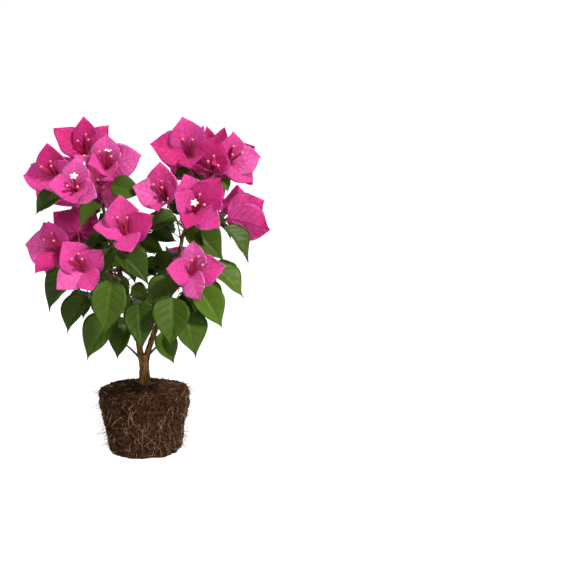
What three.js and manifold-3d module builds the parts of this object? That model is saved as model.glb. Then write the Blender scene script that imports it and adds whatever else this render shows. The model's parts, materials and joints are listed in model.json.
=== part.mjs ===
// A young bougainvillea lifted from its nursery pot: a tapered root ball, a short trunk that forks into two
// boughs, side boughs, heads of large bracts and sprays of hanging leaves.
// Millimetres, +Z up. The origin is the centre of the root ball's flat underside, and -Y is the near side.
import * as THREE from "three";
import { mergeVertices } from "three/addons/utils/BufferGeometryUtils.js";
import Module from "manifold-3d";

// ---- Driving dimensions -------------------------------------------------------------------------
const ROOT_BALL = { footRadius: 52, rimRadius: 69, rimHeight: 84, crownHeight: 99.6, seatRadius: 16 };
const TRUNK = {
  footHeight: 100,
  forkHeight: 148,
  flareRadius: 12.5,
  waistRadius: 7.6,
  forkRadius: 9.2,
  lean: -1,
};
const LIMB_SIDES = 8;
const LIMB_STEP = 27; // length of one straight stretch of a limb
const GAP = 0.4; // clearance between neighbouring solids
const LEAF = { widthShare: 0.62, thickness: 5, curl: 0.1 };
const BRACT = { cup: 28, notch: 0.62, thickness: 5 }; // cup in degrees above the flower's own plane
const STALK_RADIUS = 2.2; // the solid round each leaf stalk and flower stalk inside a mass
const TWIG_PAST = 4; // a twig runs on this far through the root of its last leaf
const HUB_RADIUS = 4.5;

// The far half of the crown repeats the near half. Each piece slides back along a line that fans out from a
// viewer's eye at the front, so the gaps through the crown stay open.
const FAR = { plane: 12, share: 0.74, eyeX: 218, eyeDistance: 2400, slope: 0.13, scale: 0.9 };

// ---- Limbs --------------------------------------------------------------------------------------
// A limb without a parent starts at its first point. Any other starts on its parent's bark, at that share of
// the parent's length. Radii are at its two ends.
const LIMBS = [
  {
    name: "left_bough",
    points: [
      [-5.2, 0, 150.2], [-8, -2, 176], [-14, -1, 208], [-25, 0, 246], [-36, 0, 281], [-44, -2, 315],
      [-58, -10, 384],
    ],
    radii: [4.6, 2.3],
  },
  {
    name: "right_bough",
    points: [
      [5.8, 0, 150.4], [14, 0, 176], [26, 0, 206], [42, 0, 240], [50, 0, 272], [56, 0, 304], [62, -2, 334],
    ],
    radii: [4.6, 2.6],
  },
  {
    name: "upper_right_bough",
    points: [[62.5, -2.2, 335.2], [70, -4, 352], [84, -8, 386], [100, -12, 420]],
    radii: [2.2, 1.6],
  },
  {
    name: "left_side_bough",
    parent: "left_bough",
    share: 0.48,
    points: [[-56, -26, 283], [-86, -40, 302]],
    radii: [2.3, 1.6],
    far: true,
  },
  {
    name: "centre_bough",
    parent: "left_bough",
    share: 0.7,
    points: [[-38, -34, 322], [-24, -70, 336]],
    radii: [2.1, 1.5],
    far: true,
  },
  {
    name: "lower_right_bough",
    parent: "right_bough",
    share: 0.5,
    points: [[56, -34, 258], [70, -76, 277]],
    radii: [2.1, 1.5],
    far: true,
  },
  {
    name: "front_right_bough",
    parent: "right_bough",
    share: 0.94,
    points: [[72, -38, 350], [83, -70, 366]],
    radii: [2, 1.5],
    far: true,
  },
  {
    name: "mid_right_bough",
    parent: "upper_right_bough",
    share: 0.06,
    points: [[50, -19, 359], [44, -32, 376]],
    radii: [1.9, 1.4],
  },
  {
    name: "right_tip_bough",
    parent: "upper_right_bough",
    share: 0.22,
    points: [[98, -10, 352], [124, -12, 354]],
    radii: [1.8, 1.3],
  },
];

// ---- Masses -------------------------------------------------------------------------------------
// Every mass grows from a hub beside a limb, a share of the way along it, and all its places are offsets
// from there. Flowers: [offset of the centre], turn and lift of the face, roll of the first bract, bracts,
// reach. Twigs: [offset of the end], then leaves as share of the way along the twig, turn and droop of the
// blade, length. Turn 0 points along +X and -90 to the near side.
const HEADS = [
  {
    name: "bloom_upper_left",
    limb: "left_bough",
    share: 1,
    flowers: [
      [[-23, 8, 72], [0, 24], 92, 4, 52],
      [[-66, -10, 36], [-18, 14], 105, 4, 51],
      [[10, -30, 54], [-22, 20], 86, 4, 53],
      [[-29, -70, 27], [-4, 22], 88, 4, 44],
      [[10, -8, 16], [150, -25], 270, 3, 36],
    ],
    bothSides: true,
  },
  {
    name: "bloom_upper_right",
    limb: "upper_right_bough",
    share: 1,
    flowers: [
      [[-25, -18, 36], [-4, 18], 98, 4, 54],
      [[11, -38, 34], [-38, 8], 72, 4, 45],
      [[34, -16, 22], [28, 12], 82, 4, 49],
      [[-52, 2, 30], [-30, 10], 150, 3, 44],
    ],
    bothSides: true,
  },
  {
    name: "bloom_mid_right",
    limb: "mid_right_bough",
    share: 1,
    flowers: [[[-6, -28, 18], [-12, 24], 96, 4, 52]],
  },
  {
    name: "bloom_front_right",
    limb: "front_right_bough",
    share: 1,
    flowers: [[[3, -27, 16], [2, 18], 108, 4, 55]],
    far: true,
  },
  { name: "bloom_right", limb: "right_tip_bough", share: 1, flowers: [[[14, 0, 6], [62, 8], 96, 4, 54]] },
  {
    name: "bloom_mid_left",
    limb: "left_side_bough",
    share: 1,
    flowers: [
      [[-9, 24, 43], [24, 6], 118, 4, 50],
      [[-40, -8, 13], [-20, 6], 100, 4, 50],
      [[10, -54, -9], [8, 6], 128, 4, 47],
    ],
    far: true,
  },
  {
    name: "bloom_centre",
    limb: "centre_bough",
    share: 1,
    flowers: [[[8, -30, 14], [-4, 24], 94, 4, 53]],
    far: true,
  },
  {
    name: "bloom_lower_right",
    limb: "lower_right_bough",
    share: 1,
    flowers: [[[8, -28, 14], [-14, 8], 82, 4, 50]],
    far: true,
  },
];

const SPRAYS = [
  {
    name: "leaves_upper_left",
    limb: "left_bough",
    share: 0.97,
    twigs: [
      [[-58, -16, 14], [[1, -165, 42, 52]]],
      [[4, -42, 6], [[1, -155, 50, 50]]],
      [[17, -25, 29], [[1, -8, 20, 50]]],
    ],
    far: true,
  },
  {
    name: "leaves_centre",
    limb: "left_bough",
    share: 0.72,
    twigs: [
      [[2, -41, 17], [[0.7, -112, 68, 48], [1, -165, 16, 42]]],
      [[18, -87, 1], [[1, -28, 44, 68]]],
    ],
    far: true,
  },
  {
    name: "leaves_mid_right",
    limb: "right_bough",
    share: 0.92,
    twigs: [
      [[-6, -31, 39], [[0.6, -160, 18, 44], [1, -165, 30, 52]]],
      [[-12, -13, 7], [[0.5, -120, 62, 42], [1, -165, 26, 44]]],
    ],
    far: true,
  },
  {
    name: "leaves_lower_left",
    limb: "left_bough",
    share: 0.28,
    twigs: [
      [[-26, -71, 13], [[1, -163, 60, 74], [0.5, -140, 74, 54]]],
      [[-92, -36, 88], [[1, -162, 64, 74], [0.62, -152, 58, 66], [0.5, -150, 58, 36]]],
    ],
    far: true,
  },
  {
    name: "leaves_lower_centre",
    limb: "left_bough",
    share: 0.42,
    twigs: [
      [[-8, -104, 46], [[1, -125, 80, 80]]],
      [[26, -97, 6], [[1, -60, 78, 64]]],
    ],
    far: true,
  },
  {
    name: "leaves_lower_right",
    limb: "right_bough",
    share: 0.36,
    twigs: [
      [[23, -112, 43], [[1, -95, 78, 70]]],
      [[43, -76, 19], [[1, -45, 76, 70], [0.4, -38, 62, 52]]],
    ],
    far: true,
  },
  {
    name: "leaves_right",
    limb: "right_bough",
    share: 0.6,
    twigs: [
      [[38, -60, 1], [[1, -14, 56, 74], [0.4, -20, 40, 44]]],
      [[67, -42, 40], [[1, -18, 54, 60]]],
      [[7, -58, 10], [[1, -150, 38, 62], [0.45, -150, 30, 46]]],
    ],
    far: true,
  },
  {
    name: "leaves_upper_right",
    limb: "front_right_bough",
    share: 0.8,
    twigs: [
      [[-4, -20, -8], [[1, -12, 46, 68]]],
      [[40, 27, -11], [[1, -16, 56, 66]]],
    ],
    far: true,
  },
];

// ---- Solids from three.js geometry --------------------------------------------------------------
const wasm = await Module();
wasm.setup();
const degrees = THREE.MathUtils.degToRad;
const vector = (p) => new THREE.Vector3(...p);

// A closed geometry with its shared corners merged and nothing kept but their places.
function welded(geometry) {
  const bare = geometry.clone();
  bare.deleteAttribute("normal");
  bare.deleteAttribute("uv");
  return mergeVertices(bare, 1e-4);
}

function solidOf(geometry) {
  const closed = geometry.attributes.normal ? welded(geometry) : geometry;
  return new wasm.Manifold(
    new wasm.Mesh({
      numProp: 3,
      vertProperties: new Float32Array(closed.attributes.position.array),
      triVerts: new Uint32Array(closed.index.array),
    }),
  );
}

function geometryOf(solid) {
  const mesh = solid.getMesh();
  const geometry = new THREE.BufferGeometry();
  geometry.setAttribute("position", new THREE.BufferAttribute(mesh.vertProperties, 3));
  geometry.setIndex(new THREE.BufferAttribute(mesh.triVerts, 1));
  geometry.computeVertexNormals();
  return geometry;
}

// Moves every corner of a simple closed geometry by a function of its place.
function reshaped(simple, place) {
  const geometry = welded(simple);
  const at = geometry.attributes.position;
  const p = new THREE.Vector3();
  for (let i = 0; i < at.count; i++) {
    p.fromBufferAttribute(at, i);
    const q = place(p);
    at.setXYZ(i, q.x, q.y, q.z);
  }
  return geometry;
}

// A round limb that tapers along a curve: a cylinder bent on to it. Its ends are cut square.
function limbGeometry(curve, radii, steps) {
  const straight = new THREE.CylinderGeometry(1, 1, 1, LIMB_SIDES, steps);
  const side = new THREE.Vector3(0, 1, 0);
  return reshaped(straight, (p) => {
    const t = THREE.MathUtils.clamp(p.y + 0.5, 0, 1);
    const along = curve.getTangentAt(t);
    const across = new THREE.Vector3().crossVectors(side, along).normalize();
    const over = new THREE.Vector3().crossVectors(along, across);
    const radius = THREE.MathUtils.lerp(radii[0], radii[1], t);
    return curve.getPointAt(t).addScaledVector(across, p.x * radius).addScaledVector(over, -p.z * radius);
  });
}

// A straight stalk between two points.
function stalk(from, to, grow) {
  const along = new THREE.Vector3().subVectors(to, from);
  const radius = STALK_RADIUS + grow;
  const rod = new THREE.CylinderGeometry(radius * 0.8, radius, along.length() + 2 * grow, 4, 1);
  const upright = new THREE.Vector3(0, 1, 0);
  rod.applyQuaternion(new THREE.Quaternion().setFromUnitVectors(upright, along.clone().normalize()));
  const middle = new THREE.Vector3().addVectors(from, to).multiplyScalar(0.5);
  rod.translate(middle.x, middle.y, middle.z);
  return solidOf(rod);
}

function hubCore(at, radius) {
  const core = new THREE.OctahedronGeometry(radius, 0);
  core.translate(at.x, at.y, at.z);
  return solidOf(core);
}

// The outline of a leaf or bract: half its width at share t of its length, from a round base to a drawn tip.
function halfWidth(t) {
  return Math.pow(Math.sin(Math.PI * Math.pow(t, 0.72)), 0.9) * 0.5 * (1 - 0.25 * t);
}

// One leaf blade, a thin solid from base to tip that bows over along its length.
function leafSolid(base, tip, facing, grow) {
  const along = new THREE.Vector3().subVectors(tip, base);
  const length = along.length();
  along.normalize();
  const over = facing.clone().addScaledVector(along, -facing.dot(along)).normalize();
  const across = new THREE.Vector3().crossVectors(along, over);
  const ball = new THREE.SphereGeometry(1, 4, 4);
  return solidOf(
    reshaped(ball, (p) => {
      const t = Math.acos(THREE.MathUtils.clamp(-p.y, -1, 1)) / Math.PI;
      const ring = Math.hypot(p.x, p.z);
      const more = ring < 1e-6 ? 0 : 1.5 * grow;
      const wide = (p.x / (ring || 1)) * (halfWidth(t) * length * LEAF.widthShare + more);
      const thick = (p.z / (ring || 1)) * (LEAF.thickness * 0.5 * Math.sin(Math.PI * t) + more);
      const bow = LEAF.curl * length * Math.pow(Math.sin(Math.PI * t), 2);
      return base
        .clone()
        .addScaledVector(along, t * (length + 2 * grow) - grow)
        .addScaledVector(across, wide)
        .addScaledVector(over, thick + bow);
    }),
  );
}

// The three directions of a flower: across, up and the way it faces.
function flowerAxes([turn, lift]) {
  const [a, e] = [degrees(turn), degrees(lift)];
  const face = new THREE.Vector3(Math.sin(a) * Math.cos(e), -Math.cos(a) * Math.cos(e), Math.sin(e));
  const across = new THREE.Vector3(Math.cos(a), Math.sin(a), 0);
  return { face, across, up: new THREE.Vector3().crossVectors(face, across) };
}

// One flower: a cupped star of pointed bracts, with notches between them.
function flowerSolid(centre, facing, roll, bracts, reach, grow) {
  const { face, across, up } = flowerAxes(facing);
  const points = bracts * 2;
  const ball = new THREE.SphereGeometry(1, points, 2);
  const tipOut = Math.cos(degrees(BRACT.cup));
  const tipForward = Math.sin(degrees(BRACT.cup));
  return solidOf(
    reshaped(ball, (p) => {
      const ring = Math.hypot(p.x, p.z);
      const spoke = Math.round((Math.atan2(p.z, p.x) / (2 * Math.PI)) * points + points) % points;
      const share = ring < 1e-6 ? 0 : spoke % 2 ? BRACT.notch : 1;
      const angle = degrees(roll) + (spoke * 2 * Math.PI) / points;
      const out = share * (reach + grow);
      const swell = -p.y * (BRACT.thickness * 0.5 + grow);
      return centre
        .clone()
        .addScaledVector(across, Math.cos(angle) * out * tipOut)
        .addScaledVector(up, Math.sin(angle) * out * tipOut)
        .addScaledVector(face, out * tipForward + swell);
    }),
  );
}

// ---- Near and far side --------------------------------------------------------------------------
function farPlace(p) {
  const y = FAR.plane - FAR.share * p.y;
  const back = y - p.y;
  return new THREE.Vector3(p.x + ((p.x - FAR.eyeX) * back) / FAR.eyeDistance, y, p.z - FAR.slope * back);
}

const nearPlace = (p) => p.clone();

// ---- The limbs ----------------------------------------------------------------------------------
const limbs = new Map();

function addLimb(row, name, place, parentName) {
  const points = row.points.map((p) => place(vector(p)));
  if (parentName) {
    const parent = limbs.get(parentName);
    const root = parent.curve.getPointAt(row.share);
    const bark = THREE.MathUtils.lerp(...parent.radii, row.share);
    const out = new THREE.Vector3().subVectors(points[0], root).normalize();
    points.unshift(root.addScaledVector(out, bark + row.radii[0] + GAP));
  }
  const curve = new THREE.CatmullRomCurve3(points);
  const steps = Math.max(3, Math.round(curve.getLength() / LIMB_STEP));
  limbs.set(name, { curve, radii: row.radii, steps });
}

for (const row of LIMBS) {
  addLimb(row, row.name, nearPlace, row.parent);
  if (row.far) {
    addLimb(row, "far_" + row.name, farPlace, row.parent);
  }
}

const limbSolid = ({ curve, radii, steps }, grow = 0) =>
  solidOf(limbGeometry(curve, radii.map((r) => r + grow), steps));

// ---- The masses ---------------------------------------------------------------------------------
// The way a leaf's upper side looks: outwards and up, and mainly to its own side of the crown.
function leafFacing(base, near) {
  return new THREE.Vector3(base.x / 300, near ? -0.8 : 0.8, 0.4).normalize();
}

function flowers(row, side, grow) {
  const made = [];
  for (const [offset, [turn, lift], roll, bracts, reach] of row.flowers) {
    const near = side.anchor.clone().add(vector(offset));
    if (side.far && row.bothSides && near.y > -15) continue; // a flower in the middle has no twin behind it
    const centre = side.far ? farPlace(near) : near;
    const facing = side.far ? [180 - turn, lift] : [turn, lift];
    const size = reach * (side.far ? FAR.scale : 1);
    made.push(flowerSolid(centre, facing, side.far ? 180 - roll : roll, bracts, size, grow));
    const end = centre.clone().addScaledVector(flowerAxes(facing).face, 1);
    made.push(stalk(side.hub, end, grow));
  }
  return made;
}

function leaves(row, side, grow) {
  const made = [];
  for (const [offset, blades] of row.twigs) {
    const nearEnd = side.anchor.clone().add(vector(offset));
    const end = side.far ? farPlace(nearEnd) : nearEnd;
    const past = new THREE.Vector3().subVectors(end, side.hub).setLength(TWIG_PAST);
    made.push(stalk(side.hub, past.add(end), grow));
    for (const [share, turn, droop, length] of blades) {
      const size = length * (side.far ? FAR.scale : 1);
      const a = degrees(side.far ? -turn : turn);
      const d = degrees(droop);
      const way = new THREE.Vector3(Math.cos(d) * Math.cos(a), Math.cos(d) * Math.sin(a), -Math.sin(d));
      const base = side.hub.clone().lerp(end, share);
      const tip = base.clone().addScaledVector(way, size);
      made.push(leafSolid(base.clone().addScaledVector(way, -7), tip, leafFacing(base, !side.far), grow));
    }
  }
  return made;
}

// All the solids of one mass joined into one, each made a little fatter by grow.
function massSolid({ row, sides }, grow) {
  const build = row.flowers ? flowers : leaves;
  const made = sides.flatMap((side) => build(row, side, grow));
  for (const side of sides) made.push(hubCore(side.hub, HUB_RADIUS + grow));
  return made.reduce((whole, piece) => whole.add(piece));
}

// A hub beyond the end of its limb, or beside the limb on the side that the mass reaches to.
function hubOf(row, limbName, far) {
  const { curve, radii } = limbs.get(limbName);
  const at = curve.getPointAt(row.share);
  const out = new THREE.Vector3();
  if (row.share === 1) out.copy(curve.getTangentAt(1));
  else {
    for (const [offset] of row.twigs) out.add(vector(offset).normalize());
    const along = curve.getTangentAt(row.share);
    if (far) out.y *= -1;
    out.addScaledVector(along, -out.dot(along)).normalize();
  }
  const thickness = THREE.MathUtils.lerp(...radii, row.share);
  const clear = row.share === 1 ? HUB_RADIUS * 0.7 : thickness + HUB_RADIUS * 0.9;
  return at.addScaledVector(out, clear);
}

const masses = [];
for (const row of [...HEADS, ...SPRAYS]) {
  const anchor = limbs.get(row.limb).curve.getPointAt(row.share);
  const farLimb = limbs.has("far_" + row.limb) ? "far_" + row.limb : row.limb;
  const near = { far: false, anchor, hub: hubOf(row, row.limb, false) };
  const far = { far: true, anchor, hub: row.bothSides ? near.hub : hubOf(row, farLimb, true) };
  masses.push({ name: row.name, row, sides: row.bothSides ? [near, far] : [near] });
  if (row.far) masses.push({ name: "far_" + row.name, row, sides: [far] });
}

// ---- Root ball and trunk ------------------------------------------------------------------------
function rootBallGeometry() {
  const { footRadius, rimRadius, rimHeight, crownHeight, seatRadius } = ROOT_BALL;
  const profile = [
    [0, 0], [footRadius - 5, 0], [footRadius, 4], [footRadius + 5, rimHeight * 0.3],
    [rimRadius - 5, rimHeight * 0.72], [rimRadius, rimHeight - 4], [rimRadius - 3, rimHeight + 3],
    [rimRadius * 0.72, crownHeight - 8], [seatRadius, crownHeight], [0, crownHeight],
  ];
  const lathe = new THREE.LatheGeometry(profile.map(([r, z]) => new THREE.Vector2(r, z)), 24);
  lathe.rotateX(Math.PI / 2);
  // The earth is lumpy: shallow swellings, none of them on the flat foot or under the trunk.
  return reshaped(lathe, (p) => {
    const turn = Math.atan2(p.y, p.x);
    const firm = Math.min(1, p.z / 12) * Math.min(1, Math.max(0, Math.hypot(p.x, p.y) - seatRadius) / 20);
    const swell = 1 + 0.016 * firm * (Math.sin(3 * turn + p.z * 0.06) + Math.sin(7 * turn - p.z * 0.11));
    return new THREE.Vector3(p.x * swell, p.y * swell, p.z);
  });
}

// The trunk flares at its foot, narrows at its waist and widens again, left to right, where it forks.
function trunkGeometry() {
  const { footHeight, forkHeight, flareRadius, waistRadius, forkRadius, lean } = TRUNK;
  const post = new THREE.CylinderGeometry(1, 1, 1, 12, 6);
  post.rotateX(Math.PI / 2);
  return reshaped(post, (p) => {
    const t = THREE.MathUtils.clamp(p.z + 0.5, 0, 1);
    const turn = Math.atan2(p.y, p.x);
    const flare = (flareRadius - waistRadius) * Math.pow(1 - t, 4) * (1 + 0.25 * Math.sin(3 * turn));
    const wide = waistRadius + flare + (forkRadius - waistRadius) * Math.pow(t, 2);
    const deep = waistRadius + flare - 1.4 * t;
    const heartwood = THREE.MathUtils.lerp(footHeight, forkHeight, t);
    return new THREE.Vector3(p.x * wide + lean * t + 1, p.y * deep, heartwood);
  });
}

// ---- Assembly -----------------------------------------------------------------------------------
const material = (color, roughness) => new THREE.MeshStandardMaterial({ color, roughness, metalness: 0 });
const earth = material(0x38241a, 1);
const bark = material(0x5e452a, 0.9);
const leafGreen = material(0x3f5c1f, 0.5);
const bractPink = material(0xd8418f, 0.6);

const bougainvillea = new THREE.Group();

function addMesh(name, geometry, finish) {
  const mesh = new THREE.Mesh(geometry, finish);
  mesh.name = name;
  bougainvillea.add(mesh);
}

addMesh("root_ball", rootBallGeometry(), earth);
addMesh("trunk", trunkGeometry(), bark);
for (const [name, limb] of limbs) addMesh(name, limbGeometry(limb.curve, limb.radii, limb.steps), bark);

// Each mass is cut back from the limbs and from the masses before it, and keeps its largest part.
const fixed = [solidOf(trunkGeometry()), ...[...limbs.values()].map((limb) => limbSolid(limb, GAP))];
let taken = fixed.reduce((whole, piece) => whole.add(piece));
for (const mass of masses) {
  const parts = massSolid(mass, 0).subtract(taken).decompose();
  const largest = parts.reduce((best, part) => (part.volume() > best.volume() ? part : best));
  addMesh(mass.name, geometryOf(largest), mass.row.flowers ? bractPink : leafGreen);
  taken = taken.add(massSolid(mass, GAP));
}

export default bougainvillea;
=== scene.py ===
# %% [markdown]
# # A young bougainvillea, lifted out of its nursery pot
#
# The plant stands on a bare root ball the shape of the pot that it grew in. A short trunk forks into two
# boughs, the boughs carry twigs and hanging leaves, and at the ends sit the showy heads: what looks like a
# flower is three or four coloured bracts, thin as paper, round three slender tubes.
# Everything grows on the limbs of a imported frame, so the lesson starts by loading that frame.

import json
import math
import random

import bmesh
import bpy
import numpy as np
from mathutils import Matrix, Vector, kdtree, noise

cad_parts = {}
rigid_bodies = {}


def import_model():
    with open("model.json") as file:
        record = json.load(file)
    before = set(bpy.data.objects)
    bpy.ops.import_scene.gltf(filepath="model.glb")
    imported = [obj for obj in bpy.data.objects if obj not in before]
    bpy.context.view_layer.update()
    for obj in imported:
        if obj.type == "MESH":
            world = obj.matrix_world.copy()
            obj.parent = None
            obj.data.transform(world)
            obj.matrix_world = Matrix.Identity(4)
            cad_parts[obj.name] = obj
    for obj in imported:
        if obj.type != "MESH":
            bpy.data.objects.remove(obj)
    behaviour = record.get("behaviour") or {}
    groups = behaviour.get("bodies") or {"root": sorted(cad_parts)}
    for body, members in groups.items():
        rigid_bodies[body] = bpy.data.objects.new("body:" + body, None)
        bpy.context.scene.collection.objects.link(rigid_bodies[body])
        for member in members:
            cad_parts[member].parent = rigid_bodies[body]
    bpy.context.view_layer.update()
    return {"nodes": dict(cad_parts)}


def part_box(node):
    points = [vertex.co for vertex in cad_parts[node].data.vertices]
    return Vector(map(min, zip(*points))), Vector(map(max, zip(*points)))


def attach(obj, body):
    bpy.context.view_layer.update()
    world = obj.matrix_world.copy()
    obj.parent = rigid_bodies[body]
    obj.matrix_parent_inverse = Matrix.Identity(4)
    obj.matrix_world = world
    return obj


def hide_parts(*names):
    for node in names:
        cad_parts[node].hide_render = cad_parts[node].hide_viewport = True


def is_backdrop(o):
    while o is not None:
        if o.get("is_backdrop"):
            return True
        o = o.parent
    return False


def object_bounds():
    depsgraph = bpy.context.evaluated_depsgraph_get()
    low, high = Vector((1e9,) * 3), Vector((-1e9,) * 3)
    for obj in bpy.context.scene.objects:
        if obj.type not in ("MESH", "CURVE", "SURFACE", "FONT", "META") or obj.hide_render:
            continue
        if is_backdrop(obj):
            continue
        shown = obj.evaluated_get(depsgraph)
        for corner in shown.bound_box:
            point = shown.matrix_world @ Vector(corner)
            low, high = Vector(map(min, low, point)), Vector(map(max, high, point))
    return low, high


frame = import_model()
MM = 0.001
UP = Vector((0, 0, 1))

# %% [markdown]
# ## Camera, floor and light
#
# A long lens from a little above eye level keeps the proportions calm. The floor and the world are almost
# white. The main light stands to the right, in front and above, so leaves on that side are pale and the left
# side falls into deep green; the leaves' tints add painted light and painted shade to the same effect. A
# broad weak light from the front left opens the shadows.

# %% Camera
PITCH = math.radians(10)
AIM = Vector((218, 0, 250.5)) * MM
DISTANCE = 2.4
TO_EYE = Vector((0, -math.cos(PITCH), math.sin(PITCH)))
EYE_UP = Vector((0, math.sin(PITCH), math.cos(PITCH)))

camera_data = bpy.data.cameras.new("camera")
camera_data.lens = 100
camera_data.sensor_width = 36
camera = bpy.data.objects.new("camera", camera_data)
camera.location = AIM + DISTANCE * TO_EYE
camera.rotation_euler = (math.pi / 2 - PITCH, 0, 0)
scene = bpy.context.scene
scene.collection.objects.link(camera)
scene.camera = camera
scene.view_settings.view_transform = "Standard"
print("camera", round(DISTANCE, 2), "m from the plant")

# %% Light and world
def add_light(name, kind, toward, energy, spread):
    """A light that shines from the direction toward, seen from the crown."""
    data = bpy.data.lights.new(name, kind)
    data.energy = energy
    if kind == "SUN":
        data.angle = math.radians(spread)
    else:
        data.size = spread
    light = bpy.data.objects.new(name, data)
    light.location = Vector((0, 0, 0.3)) + 2.0 * Vector(toward).normalized()
    light.rotation_euler = Vector(toward).to_track_quat("Z", "Y").to_euler()
    scene.collection.objects.link(light)
    return light


add_light("key", "SUN", (0.85, -0.85, 1.05), 4.4, 9)
add_light("fill", "AREA", (-0.4, -1.0, 0.6), 4.6, 1.0)

world = bpy.data.worlds.new("world")
scene.world = world
world.use_nodes = True
sky_nodes, sky_link = world.node_tree.nodes, world.node_tree.links.new
backdrop = sky_nodes["Background"]
backdrop.inputs["Color"].default_value = (1, 1, 1, 1)
direction = sky_nodes.new("ShaderNodeTexCoord")
height = sky_nodes.new("ShaderNodeSeparateXYZ")
dim = sky_nodes.new("ShaderNodeMapRange")
dim.inputs["From Min"].default_value = 0.03
dim.inputs["From Max"].default_value = 0.25
dim.inputs["To Min"].default_value = 1.0
dim.inputs["To Max"].default_value = 0.48
sky_link(direction.outputs["Generated"], height.inputs[0])
sky_link(height.outputs["Z"], dim.inputs["Value"])
sky_link(dim.outputs["Result"], backdrop.inputs["Strength"])
print("two lights and a world that is white low down and dimmer overhead")

# %% [markdown]
# ## Finishes
#
# Leaves and bracts have one even colour each: the shape does the rest, because a leaf is folded, quilted and
# veined. Their tints are dealt out leaf by leaf, partly as painted light and shade: paler greens go to the
# lit right, and deeper greens and pinks go where shade falls. Wood and earth are mottled at every scale, so
# they get noise for colour and bump.

# %% Colours
def tone(code):
    """A colour written the way a paint chart writes it, as the shader wants it."""
    values = [int(code[i : i + 2], 16) / 255 for i in (0, 2, 4)]
    return [v / 12.92 if v < 0.04045 else ((v + 0.055) / 1.055) ** 2.4 for v in values] + [1.0]


def plain_finish(name, code, roughness, **more):
    """A finish with no pattern. more holds other sockets of the shader, with _ for a space."""
    finish = bpy.data.materials.new(name)
    finish.use_nodes = True
    shader = finish.node_tree.nodes["Principled BSDF"]
    shader.inputs["Base Color"].default_value = tone(code)
    shader.inputs["Roughness"].default_value = roughness
    for socket, value in more.items():
        shader.inputs[socket.replace("_", " ")].default_value = value
    return finish


# Pale, middle and deep greens: besides a spread of tint, the pale one is painted light on lit leaves and the
# deep one painted shade on shaded leaves
LEAF_FINISHES = [
    plain_finish("leaf_pale_lit", "425A0D", 0.46, Specular_IOR_Level=0.15),
    plain_finish("leaf_green", "35490A", 0.44, Specular_IOR_Level=0.15),
    plain_finish("leaf_deep", "293B07", 0.42, Specular_IOR_Level=0.15),
]
# Three pinks: a spread of tint, and the deeper ones also serve as painted shade on flowers and bracts that
# hang in shadow
BRACT_FINISHES = [
    plain_finish("bract_bright", "CA5090", 0.6, Specular_IOR_Level=0.12, Sheen_Weight=0.15),
    plain_finish("bract_rose", "C23A7E", 0.6, Specular_IOR_Level=0.12, Sheen_Weight=0.15),
    plain_finish("bract_deep", "AC2264", 0.62, Specular_IOR_Level=0.12, Sheen_Weight=0.15),
]
for finish in BRACT_FINISHES:
    shader = finish.node_tree.nodes["Principled BSDF"]
    shader.inputs["Sheen Tint"].default_value = tone("FFA8D4")
    shader.inputs["Subsurface Weight"].default_value = 0.4
    shader.inputs["Subsurface Radius"].default_value = (1.0, 0.15, 0.5)
    shader.inputs["Subsurface Scale"].default_value = 0.004
leaf_vein_finish = plain_finish("leaf_vein", "5C7630", 0.6, Specular_IOR_Level=0.06)
bract_vein_finish = plain_finish("bract_vein", "9A1E5E", 0.6, Specular_IOR_Level=0.12)
twig_finish = plain_finish("green_twig", "4C3A22", 0.7)
stalk_finish = plain_finish("flower_stalk", "4E4522", 0.7)
tube_finish = plain_finish("tube", "98163F", 0.55)
bud_finish = plain_finish("bud_tip", "DA7088", 0.5)
star_finish = plain_finish("star", "FFF6E6", 0.5)
eye_finish = plain_finish("star_eye", "E9C23A", 0.6)
print(len(bpy.data.materials), "finishes")

# %% Mottling, a node group that earth, wood and roots share
def mottling_group():
    """Two noises, coarse and fine, on the piece's own coordinates: a mask and a height."""
    group = bpy.data.node_groups.new("mottling", "ShaderNodeTree")
    face = group.interface
    for name, value in (("Size", 100.0), ("Stretch", 1.0)):
        face.new_socket(name, in_out="INPUT", socket_type="NodeSocketFloat").default_value = value
    face.new_socket("Mask", in_out="OUTPUT", socket_type="NodeSocketFloat")
    face.new_socket("Height", in_out="OUTPUT", socket_type="NodeSocketFloat")
    add = group.nodes.new
    link = group.links.new
    entry, leave = add("NodeGroupInput"), add("NodeGroupOutput")
    place = add("ShaderNodeTexCoord")
    axes, squeeze = add("ShaderNodeCombineXYZ"), add("ShaderNodeVectorMath")
    squeeze.operation = "MULTIPLY"
    axes.inputs["X"].default_value = axes.inputs["Y"].default_value = 1.0
    link(entry.outputs["Stretch"], axes.inputs["Z"])
    link(place.outputs["Object"], squeeze.inputs[0])
    link(axes.outputs[0], squeeze.inputs[1])
    coarse, fine = add("ShaderNodeTexNoise"), add("ShaderNodeTexNoise")
    finer, blend, height = add("ShaderNodeMath"), add("ShaderNodeMath"), add("ShaderNodeMath")
    finer.operation, blend.operation, height.operation = "MULTIPLY", "MULTIPLY_ADD", "ADD"
    finer.inputs[1].default_value = 4.3
    link(entry.outputs["Size"], finer.inputs[0])
    link(entry.outputs["Size"], coarse.inputs["Scale"])
    link(finer.outputs[0], fine.inputs["Scale"])
    for texture in (coarse, fine):
        texture.inputs["Detail"].default_value = 5
        link(squeeze.outputs[0], texture.inputs["Vector"])
    blend.inputs[1].default_value = 0.45
    link(fine.outputs["Fac"], blend.inputs[0])
    link(coarse.outputs["Fac"], blend.inputs[2])
    link(coarse.outputs["Fac"], height.inputs[0])
    link(fine.outputs["Fac"], height.inputs[1])
    link(blend.outputs[0], leave.inputs["Mask"])
    link(height.outputs[0], leave.inputs["Height"])
    return group


mottling = mottling_group()


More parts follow.
